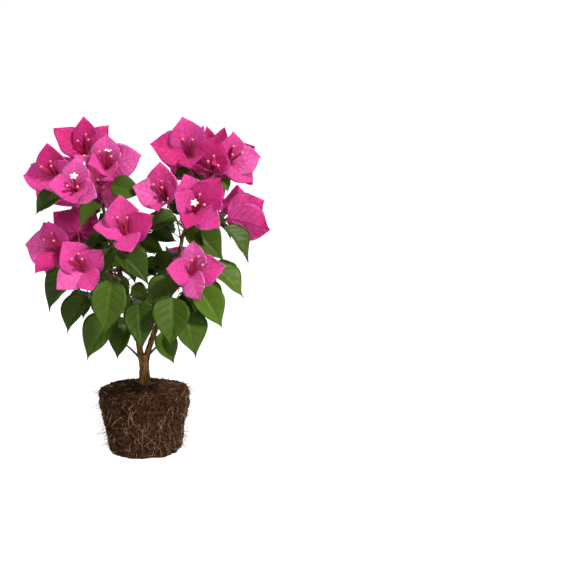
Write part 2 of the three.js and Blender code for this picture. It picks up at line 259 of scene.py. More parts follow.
def mottled_finish(name, codes, size, stretch, bump, roughness):
    """A finish that wanders between the tones in codes, rough to the light and the touch."""
    finish = bpy.data.materials.new(name)
    finish.use_nodes = True
    nodes, link = finish.node_tree.nodes, finish.node_tree.links.new
    shader = nodes["Principled BSDF"]
    shader.inputs["Roughness"].default_value = roughness
    shader.inputs["Specular IOR Level"].default_value = 0.06
    spots = nodes.new("ShaderNodeGroup")
    spots.node_tree = mottling
    spots.inputs["Size"].default_value = size
    spots.inputs["Stretch"].default_value = stretch
    ramp = nodes.new("ShaderNodeValToRGB")
    stops = ramp.color_ramp.elements
    while len(stops) < len(codes):
        stops.new(0.5)
    for i, code in enumerate(codes):
        stops[i].position = 0.5 + 0.36 * i / (len(codes) - 1)
        stops[i].color = tone(code)
    link(spots.outputs["Mask"], ramp.inputs["Fac"])
    link(ramp.outputs["Color"], shader.inputs["Base Color"])
    relief = nodes.new("ShaderNodeBump")
    relief.inputs["Strength"].default_value = 0.7
    relief.inputs["Distance"].default_value = bump
    link(spots.outputs["Height"], relief.inputs["Height"])
    link(relief.outputs["Normal"], shader.inputs["Normal"])
    return finish


bark_finish = mottled_finish("bark", ["23150A", "483018", "694A2A", "967048"], 240, 0.22, 0.0012, 0.85)
earth_finish = mottled_finish("earth", ["080402", "170C05", "28160A", "422816"], 190, 1.0, 0.0016, 0.95)
crumb_finish = mottled_finish("crumb", ["120903", "241408", "382212", "523624"], 300, 1.0, 0.0008, 0.95)
print("earth, crumb and bark are mottled")

# %% Floor
floor_finish = plain_finish("floor", "7C7C7C", 0.9, Emission_Strength=0.92)
floor_finish.node_tree.nodes["Principled BSDF"].inputs["Emission Color"].default_value = (1, 1, 1, 1)
FLOOR_HALF = 6.0
floor_corners = [(x * FLOOR_HALF, y * FLOOR_HALF, 0) for x, y in ((-1, -1), (1, -1), (1, 1), (-1, 1))]
floor_mesh = bpy.data.meshes.new("floor")
floor_mesh.from_pydata(floor_corners, [], [(0, 1, 2, 3)])
floor_mesh.materials.append(floor_finish)
floor = bpy.data.objects.new("floor", floor_mesh)
scene.collection.objects.link(floor)
floor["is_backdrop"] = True
print("floor", 2 * FLOOR_HALF, "m square")

# %% [markdown]
# ## Measuring the limbs
#
# Each limb of the frame is a many-sided tube made of rings. Grouping its corners ring by ring gives the
# limb's centre line and its thickness, and every twig, leaf and flower will start from those lines.

# %% Centre lines
SOIL_NODE = "root_ball"
TRUNK_NODE = "trunk"
limb_nodes = sorted(n for n in frame["nodes"] if n.endswith("bough"))
bloom_nodes = sorted(n for n in frame["nodes"] if "bloom" in n)
leaf_nodes = sorted(n for n in frame["nodes"] if "leaves" in n)
RING_GAP = 5 * MM


def centre_line(node):
    """[(centre, radius)] from the limb's thick end to its thin end."""
    corners = np.unique(np.round([v.co for v in frame["nodes"][node].data.vertices], 6), axis=0)
    middle = corners.mean(0)
    lengthwise = np.linalg.svd(corners - middle)[2][0]
    along = (corners - middle) @ lengthwise
    order = np.argsort(along)
    cuts = np.nonzero(np.diff(along[order]) > RING_GAP)[0] + 1
    rings = []
    for ring in np.split(corners[order], cuts):
        centre = ring.mean(0)
        rings.append((Vector(centre), float(np.linalg.norm(ring - centre, axis=1).max())))
    return rings if rings[0][1] > rings[-1][1] else rings[::-1]


def smooth_points(points, step):
    """A smooth line through points, with a point about every step."""
    padded = [2 * points[0] - points[1], *points, 2 * points[-1] - points[-2]]
    line = [points[0]]
    for a, b, c, d in zip(padded, padded[1:], padded[2:], padded[3:]):
        count = max(1, round((c - b).length / step))
        for k in range(1, count + 1):
            t = k / count
            bend = 2 * a - 5 * b + 4 * c - d
            twist = 3 * b - a - 3 * c + d
            line.append(0.5 * (2 * b + (c - a) * t + bend * t**2 + twist * t**3))
    return line


class Limb:
    """A limb's smooth line, its thickness along it, and the way it points."""

    def __init__(self, node):
        rings = centre_line(node)
        self.line = smooth_points([centre for centre, _ in rings], 3 * MM)
        steps = [(b - a).length for a, b in zip(self.line, self.line[1:])]
        self.runs = np.concatenate([[0], np.cumsum(steps)])
        self.length = float(self.runs[-1])
        self.ends = (rings[0][1], rings[-1][1])

    def at(self, share):
        run = share * self.length
        return Vector([float(np.interp(run, self.runs, [p[k] for p in self.line])) for k in range(3)])

    def heading(self, share):
        return (self.at(min(1, share + 0.04)) - self.at(max(0, share - 0.04))).normalized()

    def radius(self, share):
        return self.ends[0] + (self.ends[1] - self.ends[0]) * share


limbs = {node: Limb(node) for node in limb_nodes}
for node, limb in limbs.items():
    thick, thin = (2 * end / MM for end in limb.ends)
    print(f"{node}: {limb.length / MM:.0f} mm long, {thick:.1f} to {thin:.1f} mm thick")

# %% [markdown]
# ## What grows where
#
# The two tables below are the plant's plan: a head lists its flowers, and a spray lists the leaves of one
# twig. Lengths are in millimetres, and ways are in degrees, as a visitor sees them who stands in front: 0
# is to the right and 90 is up. A flower or leaf that faces 0 looks at the visitor and one that faces 90
# looks to the right. Two short lists say where the crown stays open and where bare shoots leave the fork.
# The far half of the crown is the near half again, slid back and drawn in.

# %% The plan of the heads: limb, whether the far side has one too, and the flowers
# Each flower: its place from the limb's end, the way it faces, its lift, its tone (0 is the palest; the
# deeper tones are partly painted shade for flowers that hang in shadow), the way and length of its tubes,
# which tube is open (9 for none), and the way and length of each bract, with its breadth where that isn't 1
# and how many tones deeper it is, which is painted shade for a bract in shadow
HEADS = [
    ("left_bough", "both", [
        ((-23, 8, 72), 0, 24, 1, (95, 20), 9, ((144, 58, 0.85), (46, 55, 0.6), (-90, 21), (92, 53, 0.8))),
        ((-66, -10, 36), -18, 14, 1, (128, 21), 9, ((104, 52), (176, 54), (45, 32), (-90, 25))),
        ((10, -30, 54), -12, 20, 1, (88, 19), 0, ((15, 58), (-58, 28), (180, 22), (86, 48))),
        ((-29, -70, 27), -4, 22, 1, (100, 8), 0, ((175, 39), (-25, 38), (-77, 25), (86, 46))),
        ((10, -8, 16), 150, -25, 2, (270, 15), 9, ((-25, 28), (-85, 28), (215, 24))),
    ]),
    ("upper_right_bough", "both", [
        ((-25, -18, 36), -4, 18, 1, (95, 23), 9,
         ((168, 61, 1, 1), (63, 46, 0.6), (-80, 26), (102, 55, 1.08, 0))),
        ((1, -38, 8), -30, 8, 2, (72, 17), 9, ((76, 57, 1.1), (148, 26, 0.6), (258, 36, 0.8))),
        ((4, 22, 26), 10, 10, 2, (90, 9), 9, ((97, 48, 0.6), (64, 50, 0.7), (160, 30))),
        ((34, -16, 22), 28, 12, 1, (52, 20), 9, ((-40, 45), (190, 26), (12, 49), (82, 47))),
        ((-30, 14, 30), -30, 10, 2, (120, 15), 9, ((133, 52), (200, 40), (60, 40))),
    ]),
    ("mid_right_bough", "", [
        ((-6, -28, 18), -12, 24, 1, (108, 21), 9, ((160, 50), (20, 24), (-105, 22), (96, 54))),
    ]),
    ("front_right_bough", "far", [
        ((3, -27, 16), 2, 18, 1, (62, 15), 1, ((143, 38), (50, 59), (107, 54), (-36, 46), (250, 32))),
    ]),
    ("right_tip_bough", "", [
        ((12, 2, 7), 150, 2, 1, (25, 8), 9,
         ((-62, 40), (79, 50, 1, 0), (24, 56, 1.05, 0), (-20, 64, 1.1, 0))),
    ]),
    ("left_side_bough", "far", [
        ((-5, 34, 33), 165, -15, 2, (90, 15), 9, ((60, 44), (142, 53), (104, 44), (20, 38))),
        ((-33, -8, 13), -20, 6, 1, (126, 21), 9, ((108, 47), (171, 55), (226, 50, 0.75), (-45, 24))),
        ((10, -54, -9), 8, 6, 1, (108, 18), 9, ((46, 43), (124, 51), (-54, 38), (217, 48))),
    ]),
    ("centre_bough", "far", [
        ((8, -30, 14), -4, 24, 1, (92, 24), 9, ((29, 51), (171, 46), (-70, 33), (96, 55))),
    ]),
    ("lower_right_bough", "far", [
        ((8, -28, 14), -14, 8, 1, (62, 19), 9, ((170, 36), (11, 53), (84, 48), (-71, 44))),
    ]),
]
print(sum(len(flowers) for _, _, flowers in HEADS), "flowers on the near side and the middle")

# %% The plan of the sprays: limb, share of the way along it, and the leaves of one twig
# Each leaf: where it starts, how far its tip lies to the right, back and up, and which way it faces.
# The twig runs out to the first leaf, and the others hang from it.
SPRAYS = [
    ("left_bough", 0.97, [((-115, -30, 395), (-38, -8, -31), -25)]),
    ("left_bough", 0.9, [((-53, -60, 383), (-30, -8, -36), -40), ((-38, -54, 411), (50, -4, -12), 12)]),
    ("left_bough", 0.72, [((-43, -50, 332), (-38, -6, -11), -10), ((-38, -40, 320), (-18, -8, -46), -20)]),
    ("left_bough", 0.66, [((-27, -110, 320), (48, -14, -46), 30)]),
    ("centre_bough", 0.5, [((18, -40, 341), (39, -6, -14), 20), ((1, -40, 327), (38, -6, -18), 20)]),
    ("right_bough", 0.92, [((53, -40, 365), (-44, -8, -24), -10)]),
    ("right_bough", 0.72, [((23, -20, 306), (24, -6, -32), 20)]),
    ("right_bough", 0.6, [((56, -80, 276), (-45, -12, -39), -15)]),
    ("left_bough", 0.42, [((-33, -120, 284), (-9, -14, -79), 8), ((-13, -40, 256), (30, -6, -17), 10)]),
    ("left_bough", 0.36, [((2, -104, 245), (9, -36, -62), 12)]),
    ("left_bough", 0.28, [((-94, -40, 287), (-40, -10, -65), -34), ((-75, -60, 249), (-30, -12, -56), -30),
                          ((-72, -30, 237), (-14, -6, -29), -40)]),
    ("left_bough", 0.24, [((-32, -80, 223), (-42, -12, -65), -28), ((-16, -70, 209), (-15, -16, -50), -20)]),
    ("right_bough", 0.22, [((33, -80, 199), (20, -12, -46), 15)]),
    ("right_bough", 0.36, [((53, -120, 258), (-2, -22, -69), 2)]),
    ("right_bough", 0.42, [((66, -80, 231), (18, -10, -69), 32), ((58, -40, 246), (33, -6, -29), 20)]),
    ("right_bough", 0.62, [((85, -70, 265), (39, -16, -61), 25)]),
    ("right_bough", 0.7, [((104, -50, 291), (50, -8, -47), 46)]),
    ("front_right_bough", 0.8, [((75, -66, 356), (52, -12, -54), 16)]),
    ("upper_right_bough", 0.3, [((124, -40, 349), (36, -6, -54), 58)]),
    ("upper_right_bough", 0.75, [((74, -30, 430), (-25, -4, -11), -10),
                                 ((122, -20, 418), (8, -4, -21), 20)]),
]
print(sum(len(leaves) for *_, leaves in SPRAYS), "named leaves on the near side")

# Places where the sky shows through the crown, each with its radius: no small leaf grows across them
OPENINGS = [((-116, 0, 367), 6), ((55, 0, 357), 7), ((56, 0, 322), 9), ((-50, 0, 373), 6), ((52, 0, 243), 3)]
# Bare shoots by the fork: limb, where the shoot leaves its foot, and how far it reaches
SHOOTS = [("left_bough", (-2, 0, -6), (-32, -24, 36)), ("right_bough", (3, 0, -1), (36, -24, 34))]

# %% The far side of the crown
FAR_PLANE, FAR_SHARE, FAR_SLOPE, FAR_SCALE = 12 * MM, 0.74, 0.13, 0.86


def far_place(p):
    """The place behind p: slid back along the line of sight, so gaps through the crown stay open."""
    y = FAR_PLANE - FAR_SHARE * p.y
    back = y - p.y
    return Vector((p.x + (p.x - AIM.x) * back / DISTANCE, y, p.z - FAR_SLOPE * back))


print("a point 100 mm in front has its twin", round(far_place(Vector((0, -0.1, 0.3))).y / MM), "mm behind")

# %% [markdown]
# ## Blades
#
# A leaf and a bract are the same idea: a thin sheet with a midrib, side veins that sweep towards the tip,
# and a surface that swells a little between the veins. So one function makes both, from a rule for the
# outline and a rule for the sheet. The rows of the mesh run along the side veins, which lets a coarse mesh
# show the quilting. The sheet gets two faces and a closed edge, so it is a true solid.

# %% A blade from its rules
def sheet_frames(sheet, spots):
    """Place and normal of the sheet at each (u, s) in spots."""
    d = 1e-3
    out = []
    for u, s in spots:
        p = Vector(sheet(u, s))
        across = Vector(sheet(u + d, s)) - Vector(sheet(u - d, s))
        along = Vector(sheet(u, min(1, s + d))) - Vector(sheet(u, max(0, s - d)))
        normal = across.cross(along)
        out.append((p, normal.normalized() if normal.length > 1e-12 else Vector((0, 0, 1))))
    return out


def blade_mesh(name, sheet, rows, columns, thickness):
    """A closed thin solid over the sheet: u runs from -1 to 1 across and s from 0 to 1 along."""
    us = [-1 + 2 * i / columns for i in range(columns + 1)]
    levels = [j / rows for j in range(1, rows)]
    frames = [sheet_frames(sheet, [(u, s) for u in us]) for s in levels]
    points = [Vector(sheet(0, 0)), Vector(sheet(0, 1))]
    top, bottom = [], []
    for ring in frames:
        top_row, bottom_row = [], []
        for u, (p, normal) in zip(us, ring):
            half = 0.5 * thickness * (1 - u**4)
            top_row.append(len(points))
            points.append(p + normal * half)
            if abs(u) < 1:
                bottom_row.append(len(points))
                points.append(p - normal * half)
            else:
                bottom_row.append(top_row[-1])
        top.append(top_row)
        bottom.append(bottom_row)
    faces = []
    for i in range(columns):
        faces.append((0, top[0][i + 1], top[0][i]))
        faces.append((0, bottom[0][i], bottom[0][i + 1]))
        faces.append((1, top[-1][i], top[-1][i + 1]))
        faces.append((1, bottom[-1][i + 1], bottom[-1][i]))
        for j in range(len(levels) - 1):
            faces.append((top[j][i], top[j][i + 1], top[j + 1][i + 1], top[j + 1][i]))
            faces.append((bottom[j][i + 1], bottom[j][i], bottom[j + 1][i], bottom[j + 1][i + 1]))
    mesh = bpy.data.meshes.new(name)
    mesh.from_pydata(points, [], faces)
    mesh.shade_smooth()
    return mesh


def vein_mesh(name, sheet, veins, thickness, proud):
    """Thin ridges that stand proud on both faces. Each vein is a list of (u, s) and its two half widths."""
    points, faces = [], []
    for spots, (wide, narrow) in veins:
        ring_before = None
        places = sheet_frames(sheet, spots)
        for k, ((u, _), (p, normal)) in enumerate(zip(spots, places)):
            ahead = places[min(k + 1, len(places) - 1)][0] - places[max(k - 1, 0)][0]
            side = normal.cross(ahead).normalized() * (wide + (narrow - wide) * k / (len(spots) - 1))
            half = normal * (0.5 * thickness * (1 - u**4) + proud)
            first = len(points)
            points += [p - side, p + half, p + side, p - half]
            ring = [first, first + 1, first + 2, first + 3]
            if ring_before is None:
                faces.append(tuple(ring))
            else:
                for a in range(4):
                    b = (a + 1) % 4
                    faces.append((ring_before[a], ring[a], ring[b], ring_before[b]))
            ring_before = ring
        faces.append(tuple(reversed(ring_before)))
    mesh = bpy.data.meshes.new(name)
    mesh.from_pydata(points, [], faces)
    solid = bmesh.new()
    solid.from_mesh(mesh)
    bmesh.ops.recalc_face_normals(solid, faces=solid.faces)
    solid.to_mesh(mesh)
    solid.free()
    return mesh


print("blade and vein makers are ready")

# %% [markdown]
# ## The leaf
#
# A bougainvillea leaf is egg-shaped with a drawn-out tip, about two thirds as wide as it is long. It folds
# up along the midrib like an open book, and its tip bends down. Eight leaves that differ in fold, bend and
# wave are enough that no two neighbours look alike.

# %% Leaf shapes
LEAF_SIDE_VEINS = 5
LEAF_THICKNESS = 0.009
LEAF_VEIN_RISE = 0.003
LEAF_ROWS = 4 * (LEAF_SIDE_VEINS + 1)
SWEEP = 0.56


def swept(u_abs, q):
    """How far along the blade a point lies: q = 0 is the foot, and the margins run ahead of the midrib."""
    return max(0.0, q) ** (1.75 * (1 - SWEEP * u_abs))


def leaf_sheet(seed):
    """The sheet of one leaf of length 1: x across, y along, z towards its upper side."""
    rng = random.Random(seed)
    half = rng.uniform(0.32, 0.36)
    fold = rng.uniform(0.4, 0.68)
    bend = rng.uniform(0.1, 0.26)
    sway = rng.uniform(-0.05, 0.05)
    waves = rng.uniform(1.3, 2.2)
    phase = rng.uniform(0, 6)
    curl = rng.uniform(-0.1, 0.14)

    def sheet(u, s):
        u_abs = min(1.0, abs(u))
        t = min(1.0, swept(u_abs, s))
        wide = half * max(0.0, math.sin(math.pi * t**0.66)) ** (0.72 + 1.05 * t * t)
        x = wide * u + sway * math.sin(math.pi * t)
        z = fold * wide * u_abs + bend * (t - t * t) * 1.3
        z += 0.022 * math.sin(waves * 2 * math.pi * t + phase + (1.2 if u > 0 else 0)) * u_abs**2
        z += curl * wide * u_abs**3
        quilt = 0.5 - 0.5 * math.cos(2 * math.pi * (LEAF_SIDE_VEINS + 1) * s)
        z += 0.017 * quilt * u_abs**0.6 * (1 - u_abs) * 2
        return (x, t, z)

    return sheet


def leaf_veins():
    """The midrib and the side veins of a leaf, as lines of (u, s)."""
    veins = [([(0, 0.01 + 0.97 * k / 16) for k in range(17)], (0.016, 0.005))]
    for i in range(1, LEAF_SIDE_VEINS + 1):
        s = i / (LEAF_SIDE_VEINS + 1)
        for side in (-1, 1):
            veins.append(([(side * (0.02 + 0.86 * k / 6), s) for k in range(7)], (0.006, 0.003)))
    return veins


def shape_collection(name, meshes):
    """A collection of shapes, in order, for a node tree to pick from. It isn't part of the scene."""
    group = bpy.data.collections.new(name)
    for i, mesh in enumerate(meshes):
        group.objects.link(bpy.data.objects.new(f"{name}_{i:02d}", mesh))
    return group


LEAF_SHAPES = 8
leaf_sheets = [leaf_sheet(100 + i) for i in range(LEAF_SHAPES)]
leaf_blades = shape_collection(
    "leaf_shape",
    [blade_mesh(f"leaf_{i}", sheet, LEAF_ROWS, 12, LEAF_THICKNESS)
     for i, sheet in enumerate(leaf_sheets)],
)
leaf_ribs = shape_collection(
    "leaf_rib",
    [vein_mesh(f"rib_{i}", sheet, leaf_veins(), LEAF_THICKNESS, LEAF_VEIN_RISE)
     for i, sheet in enumerate(leaf_sheets)],
)

# %% [markdown]
# ## The bract
#
# A bract is a leaf that has turned into a petal: as thin as tissue, broad, pointed, with a strong midrib
# and a net of fine veins. It rises steeply from the throat of the flower and then lies out, and its edge
# is wavy. The net is made of cross veins that join neighbouring side veins at uneven places.

# %% Bract shapes
BRACT_SIDE_VEINS = 6
BRACT_THICKNESS = 0.008
BRACT_VEIN_RISE = 0.004
BRACT_ROWS = 4 * (BRACT_SIDE_VEINS + 1)


def bract_sheet(seed):
    """The sheet of one bract of length 1: x across, y outwards, z towards the way the flower faces."""
    rng = random.Random(seed)
    half = rng.uniform(0.41, 0.46)
    channel = rng.uniform(0.06, 0.3)
    curl_back = rng.uniform(0.0, 0.08)
    sway = rng.uniform(-0.05, 0.05)
    waves = rng.uniform(1.6, 2.8)
    phase = rng.uniform(0, 6)
    ruffle = rng.uniform(0.025, 0.045)

    def sheet(u, s):
        u_abs = min(1.0, abs(u))
        t = min(1.0, swept(u_abs, s))
        wide = half * max(0.0, math.sin(math.pi * t**0.8)) ** (0.5 + 0.62 * t * t)
        wide = max(wide, 0.12 * (1 - t) ** 3)
        x = wide * u + sway * math.sin(math.pi * t)
        z = -0.17 * (1 - t) ** 3.5 + 3 * curl_back * t * t * (1 - t) + channel * wide * u_abs**1.4
        wave = math.sin(waves * 2 * math.pi * t + phase + (2.1 if u > 0 else 0))
        z += ruffle * wave * u_abs**2 * (0.3 + t)
        quilt = 0.5 - 0.5 * math.cos(2 * math.pi * (BRACT_SIDE_VEINS + 1) * s)
        z += 0.016 * quilt * u_abs**0.6 * (1 - u_abs) * 2
        return (x, t, z)

    return sheet


def bract_veins(seed):
    """Midrib, side veins and a net of cross veins, as lines of (u, s)."""
    rng = random.Random(seed)
    veins = [([(0, 0.02 + 0.95 * k / 12) for k in range(13)], (0.024, 0.009))]
    levels = [i / (BRACT_SIDE_VEINS + 1) for i in range(1, BRACT_SIDE_VEINS + 1)]
    for side in (-1, 1):
        for s in levels:
            veins.append(([(side * (0.02 + 0.84 * k / 5), s) for k in range(6)], (0.0095, 0.0045)))
        for low, high in zip(levels, levels[1:]):
            for u in (0.3, 0.55, 0.8):
                at = u + rng.uniform(-0.08, 0.08)
                to = at + rng.uniform(-0.1, 0.1)
                bend = (at + to) / 2 + rng.uniform(-0.04, 0.04)
                line = [(side * at, low), (side * bend, (low + high) / 2), (side * to, high)]
                veins.append((line, (0.0052, 0.0052)))
    return veins


BRACT_SHAPES = 7
bract_sheets = [bract_sheet(300 + i) for i in range(BRACT_SHAPES)]
bract_blades = shape_collection(
    "bract_shape",
    [blade_mesh(f"bract_{i}", sheet, BRACT_ROWS, 12, BRACT_THICKNESS)
     for i, sheet in enumerate(bract_sheets)],
)
bract_ribs = shape_collection(
    "bract_rib",
    [vein_mesh(f"net_{i}", sheet, bract_veins(500 + i), BRACT_THICKNESS, BRACT_VEIN_RISE)
     for i, sheet in enumerate(bract_sheets)],
)

# %% [markdown]
# ## The true flowers
#
# In the throat stand three tubes, no thicker than a matchstick. Most are still shut, with a pink bud at
# the tip. Here and there one has opened into a small white star. Each is turned on a profile along its own
# axis, z, with its foot at the origin.

# %% Tubes, buds and stars
def turned_mesh(name, profile, sides, bow=0.0, ribs=0.0):
    """A closed shape round z from (radius, height) pairs that start and end on the axis, bowed sideways."""
    mesh = bpy.data.meshes.new(name)
    tall = profile[-1][1]
    points, rings = [], []
    for radius, z in profile:
        shift = bow * (z / tall) ** 2
        if radius == 0:
            rings.append([len(points)] * sides)
            points.append((shift, 0, z))
        else:
            rings.append(list(range(len(points), len(points) + sides)))
            for k in range(sides):
                a = 2 * math.pi * k / sides
                r = radius * (1 + ribs * math.cos(5 * a))
                points.append((r * math.cos(a) + shift, r * math.sin(a), z))
    faces = []
    for low, high in zip(rings, rings[1:]):
        for k in range(sides):
            m = (k + 1) % sides
            corners = []
            for c in (low[k], low[m], high[m], high[k]):
                if c not in corners:
                    corners.append(c)
            faces.append(tuple(corners))
    mesh.from_pydata(points, [], faces)
    mesh.shade_smooth()
    return mesh


TUBE_BOW = 0.08
tube_profile = [(0, 0), (0.045, 0.01), (0.062, 0.12), (0.058, 0.3), (0.047, 0.5), (0.05, 0.75),
                (0.058, 0.93), (0.03, 0.99), (0, 1.0)]
bud_profile = [(0, 0), (0.04, 0.015), (0.054, 0.05), (0.05, 0.09), (0.026, 0.115), (0, 0.12)]
tubes = shape_collection("tube_shape", [turned_mesh("tube", tube_profile, 10, TUBE_BOW, 0.12)])


def placed_mesh(mesh, place):
    mesh.transform(place)
    return mesh


tube_top = Matrix.Translation((TUBE_BOW * 0.92, 0, 0.955)) @ Matrix.Rotation(0.19, 4, "Y")
buds = shape_collection("bud_shape", [placed_mesh(turned_mesh("bud", bud_profile, 10), tube_top)])


def star_mesh():
    """Five frilled lobes that lie back from a small throat."""
    points, faces = [], []
    spokes = 40
    rings = [(0.027, 0.0), (0.06, 0.035), (0.115, 0.045), (0.158, 0.03)]
    for face, lift in ((0, 0.008), (1, -0.008)):
        for r, z in rings:
            for k in range(spokes):
                a = 2 * math.pi * k / spokes
                lobe = 1 - (0.5 if r > 0.07 else 0.1) * (0.5 - 0.5 * math.cos(5 * a)) ** 1.6
                frill = 0.02 * math.sin(20 * a) * (r / 0.158) ** 2
                points.append((r * lobe * math.cos(a), r * lobe * math.sin(a), z + frill + lift))
    count = len(rings)
    for j in range(count - 1):
        for k in range(spokes):
            m = (k + 1) % spokes
            a, b = j * spokes, (j + 1) * spokes
            faces.append((a + k, b + k, b + m, a + m))
            c, d = a + count * spokes, b + count * spokes
            faces.append((c + k, c + m, d + m, d + k))
    for k in range(spokes):
        m = (k + 1) % spokes
        inner, outer = 0, (count - 1) * spokes
        below_in, below_out = count * spokes, (2 * count - 1) * spokes
        faces.append((inner + k, inner + m, below_in + m, below_in + k))
        faces.append((outer + k, below_out + k, below_out + m, outer + m))
    mesh = bpy.data.meshes.new("star")
    mesh.from_pydata(points, [], faces)
    solid = bmesh.new()
    solid.from_mesh(mesh)
    bmesh.ops.recalc_face_normals(solid, faces=solid.faces)
    solid.to_mesh(mesh)
    solid.free()
    mesh.shade_smooth()
    return placed_mesh(mesh, tube_top)


stars = shape_collection("star_shape", [star_mesh()])
cup_profile = [(0, -0.24), (0.04, -0.22), (0.12, -0.08), (0.19, 0.07),
               (0.13, 0.04), (0.06, -0.02), (0, -0.03)]
cups = shape_collection("cup_shape", [turned_mesh("cup", cup_profile, 12)])
eye_profile = [(0, -0.02), (0.028, 0.0), (0.031, 0.03), (0.016, 0.055), (0, 0.06)]
eyes = shape_collection("eye_shape", [placed_mesh(turned_mesh("eye", eye_profile, 8), tube_top)])
print("tube, bud, star and eye")

# %% [markdown]
# ## Node trees
#
# Three small trees do the repeating. The first sets shapes from a collection on points that carry a
# turn, a size and a pick. The second sweeps a round section along lines that carry a thickness. The third
# scatters crumbs over a surface. Each ends in real geometry with its finish, ready to become a plain mesh.

# %% Helpers for trees
def new_tree(name, inputs):
    """A geometry tree with named inputs beside its geometry. Returns the tree, its ends and sockets."""
    tree = bpy.data.node_groups.new(name, "GeometryNodeTree")
    face = tree.interface
    face.new_socket("Geometry", in_out="INPUT", socket_type="NodeSocketGeometry")
    sockets = {label: face.new_socket(label, in_out="INPUT", socket_type=kind) for label, kind in inputs}
    face.new_socket("Geometry", in_out="OUTPUT", socket_type="NodeSocketGeometry")
    return tree, tree.nodes.new("NodeGroupInput"), tree.nodes.new("NodeGroupOutput"), sockets


def named_value(tree, name, kind):
    node = tree.nodes.new("GeometryNodeInputNamedAttribute")
    node.data_type = kind
    node.inputs["Name"].default_value = name
    return next(s for s in node.outputs if s.enabled and s.name == "Attribute")


def end_tree(tree, entry, leave, geometry):
    """Realize Instances and Set Material, then out."""
    real, finish = tree.nodes.new("GeometryNodeRealizeInstances"), tree.nodes.new("GeometryNodeSetMaterial")
    tree.links.new(geometry, real.inputs["Geometry"])
    tree.links.new(real.outputs["Geometry"], finish.inputs["Geometry"])
    tree.links.new(entry.outputs["Finish"], finish.inputs["Material"])
    tree.links.new(finish.outputs["Geometry"], leave.inputs["Geometry"])


def grown(name, mesh, tree, sockets, values, finish):
    """Runs the tree on the mesh and returns a plain mesh object, with no modifier left."""
    piece = bpy.data.objects.new(name, mesh)
    scene.collection.objects.link(piece)
    modifier = piece.modifiers.new("grow", "NODES")
    modifier.node_group = tree
    for label, value in {**values, "Finish": finish}.items():
        modifier[sockets[label].identifier] = value
    depsgraph = bpy.context.evaluated_depsgraph_get()
    result = bpy.data.meshes.new_from_object(piece.evaluated_get(depsgraph), depsgraph=depsgraph)
    piece.modifiers.remove(modifier)
    piece.data = result
    result.name = name
    result.materials.clear()
    result.materials.append(finish)
    for attribute in [a.name for a in result.attributes if a.name in ("turn", "size", "pick", "thickness")]:
        result.attributes.remove(result.attributes[attribute])
    return piece


print("tree helpers are ready")

# %% The tree that sets shapes on points
set_tree, set_in, set_out, set_sockets = new_tree(
    "shapes on points", [("Shapes", "NodeSocketCollection"), ("Finish", "NodeSocketMaterial")]
)
pick_from = set_tree.nodes.new("GeometryNodeCollectionInfo")
pick_from.inputs["Separate Children"].default_value = True
pick_from.inputs["Reset Children"].default_value = True
set_on = set_tree.nodes.new("GeometryNodeInstanceOnPoints")
set_on.inputs["Pick Instance"].default_value = True
for a, b in (
    (set_in.outputs["Shapes"], pick_from.inputs["Collection"]),
    (set_in.outputs["Geometry"], set_on.inputs["Points"]),
    (pick_from.outputs[0], set_on.inputs["Instance"]),
    (named_value(set_tree, "pick", "INT"), set_on.inputs["Instance Index"]),
    (named_value(set_tree, "turn", "QUATERNION"), set_on.inputs["Rotation"]),
    (named_value(set_tree, "size", "FLOAT_VECTOR"), set_on.inputs["Scale"]),
):
    set_tree.links.new(a, b)
end_tree(set_tree, set_in, set_out, set_on.outputs["Instances"])


def set_shapes(name, spots, shapes, finish):
    """One piece from spots, each (place, 3x3 turn, size on each axis, pick)."""
    mesh = bpy.data.meshes.new(name + "_spots")
    mesh.from_pydata([place for place, *_ in spots], [], [])
    for label, kind in (("turn", "QUATERNION"), ("size", "FLOAT_VECTOR"), ("pick", "INT")):
        mesh.attributes.new(label, kind, "POINT")
    turns = np.array([matrix.to_quaternion() for _, matrix, _, _ in spots], np.float32)
    sizes = np.array([size for _, _, size, _ in spots], np.float32)
    picks = np.array([pick % len(shapes.objects) for *_, pick in spots], np.int32)
    mesh.attributes["turn"].data.foreach_set("value", turns.ravel())
    mesh.attributes["size"].data.foreach_set("vector", sizes.ravel())
    mesh.attributes["pick"].data.foreach_set("value", picks)
    return grown(name, mesh, set_tree, set_sockets, {"Shapes": shapes}, finish)


print("tree:", set_tree.name)

# %% The tree that sweeps stems along lines
stem_tree, stem_in, stem_out, stem_sockets = new_tree(
    "stems on lines", [("Sides", "NodeSocketInt"), ("Finish", "NodeSocketMaterial")]
)
to_curve = stem_tree.nodes.new("GeometryNodeMeshToCurve")
give_radius = stem_tree.nodes.new("GeometryNodeSetCurveRadius")
section = stem_tree.nodes.new("GeometryNodeCurvePrimitiveCircle")
section.inputs["Radius"].default_value = 1.0
sweep = stem_tree.nodes.new("GeometryNodeCurveToMesh")
sweep.inputs["Fill Caps"].default_value = True
thickness_out = named_value(stem_tree, "thickness", "FLOAT")
for a, b in (
    (stem_in.outputs["Geometry"], to_curve.inputs["Mesh"]),
    (to_curve.outputs["Curve"], give_radius.inputs["Curve"]),
    (thickness_out, give_radius.inputs["Radius"]),
    (stem_in.outputs["Sides"], section.inputs["Resolution"]),
    (give_radius.outputs["Curve"], sweep.inputs["Curve"]),
    (section.outputs["Curve"], sweep.inputs["Profile Curve"]),
):
    stem_tree.links.new(a, b)
if "Scale" in sweep.inputs:
    stem_tree.links.new(thickness_out, sweep.inputs["Scale"])
end_tree(stem_tree, stem_in, stem_out, sweep.outputs["Mesh"])


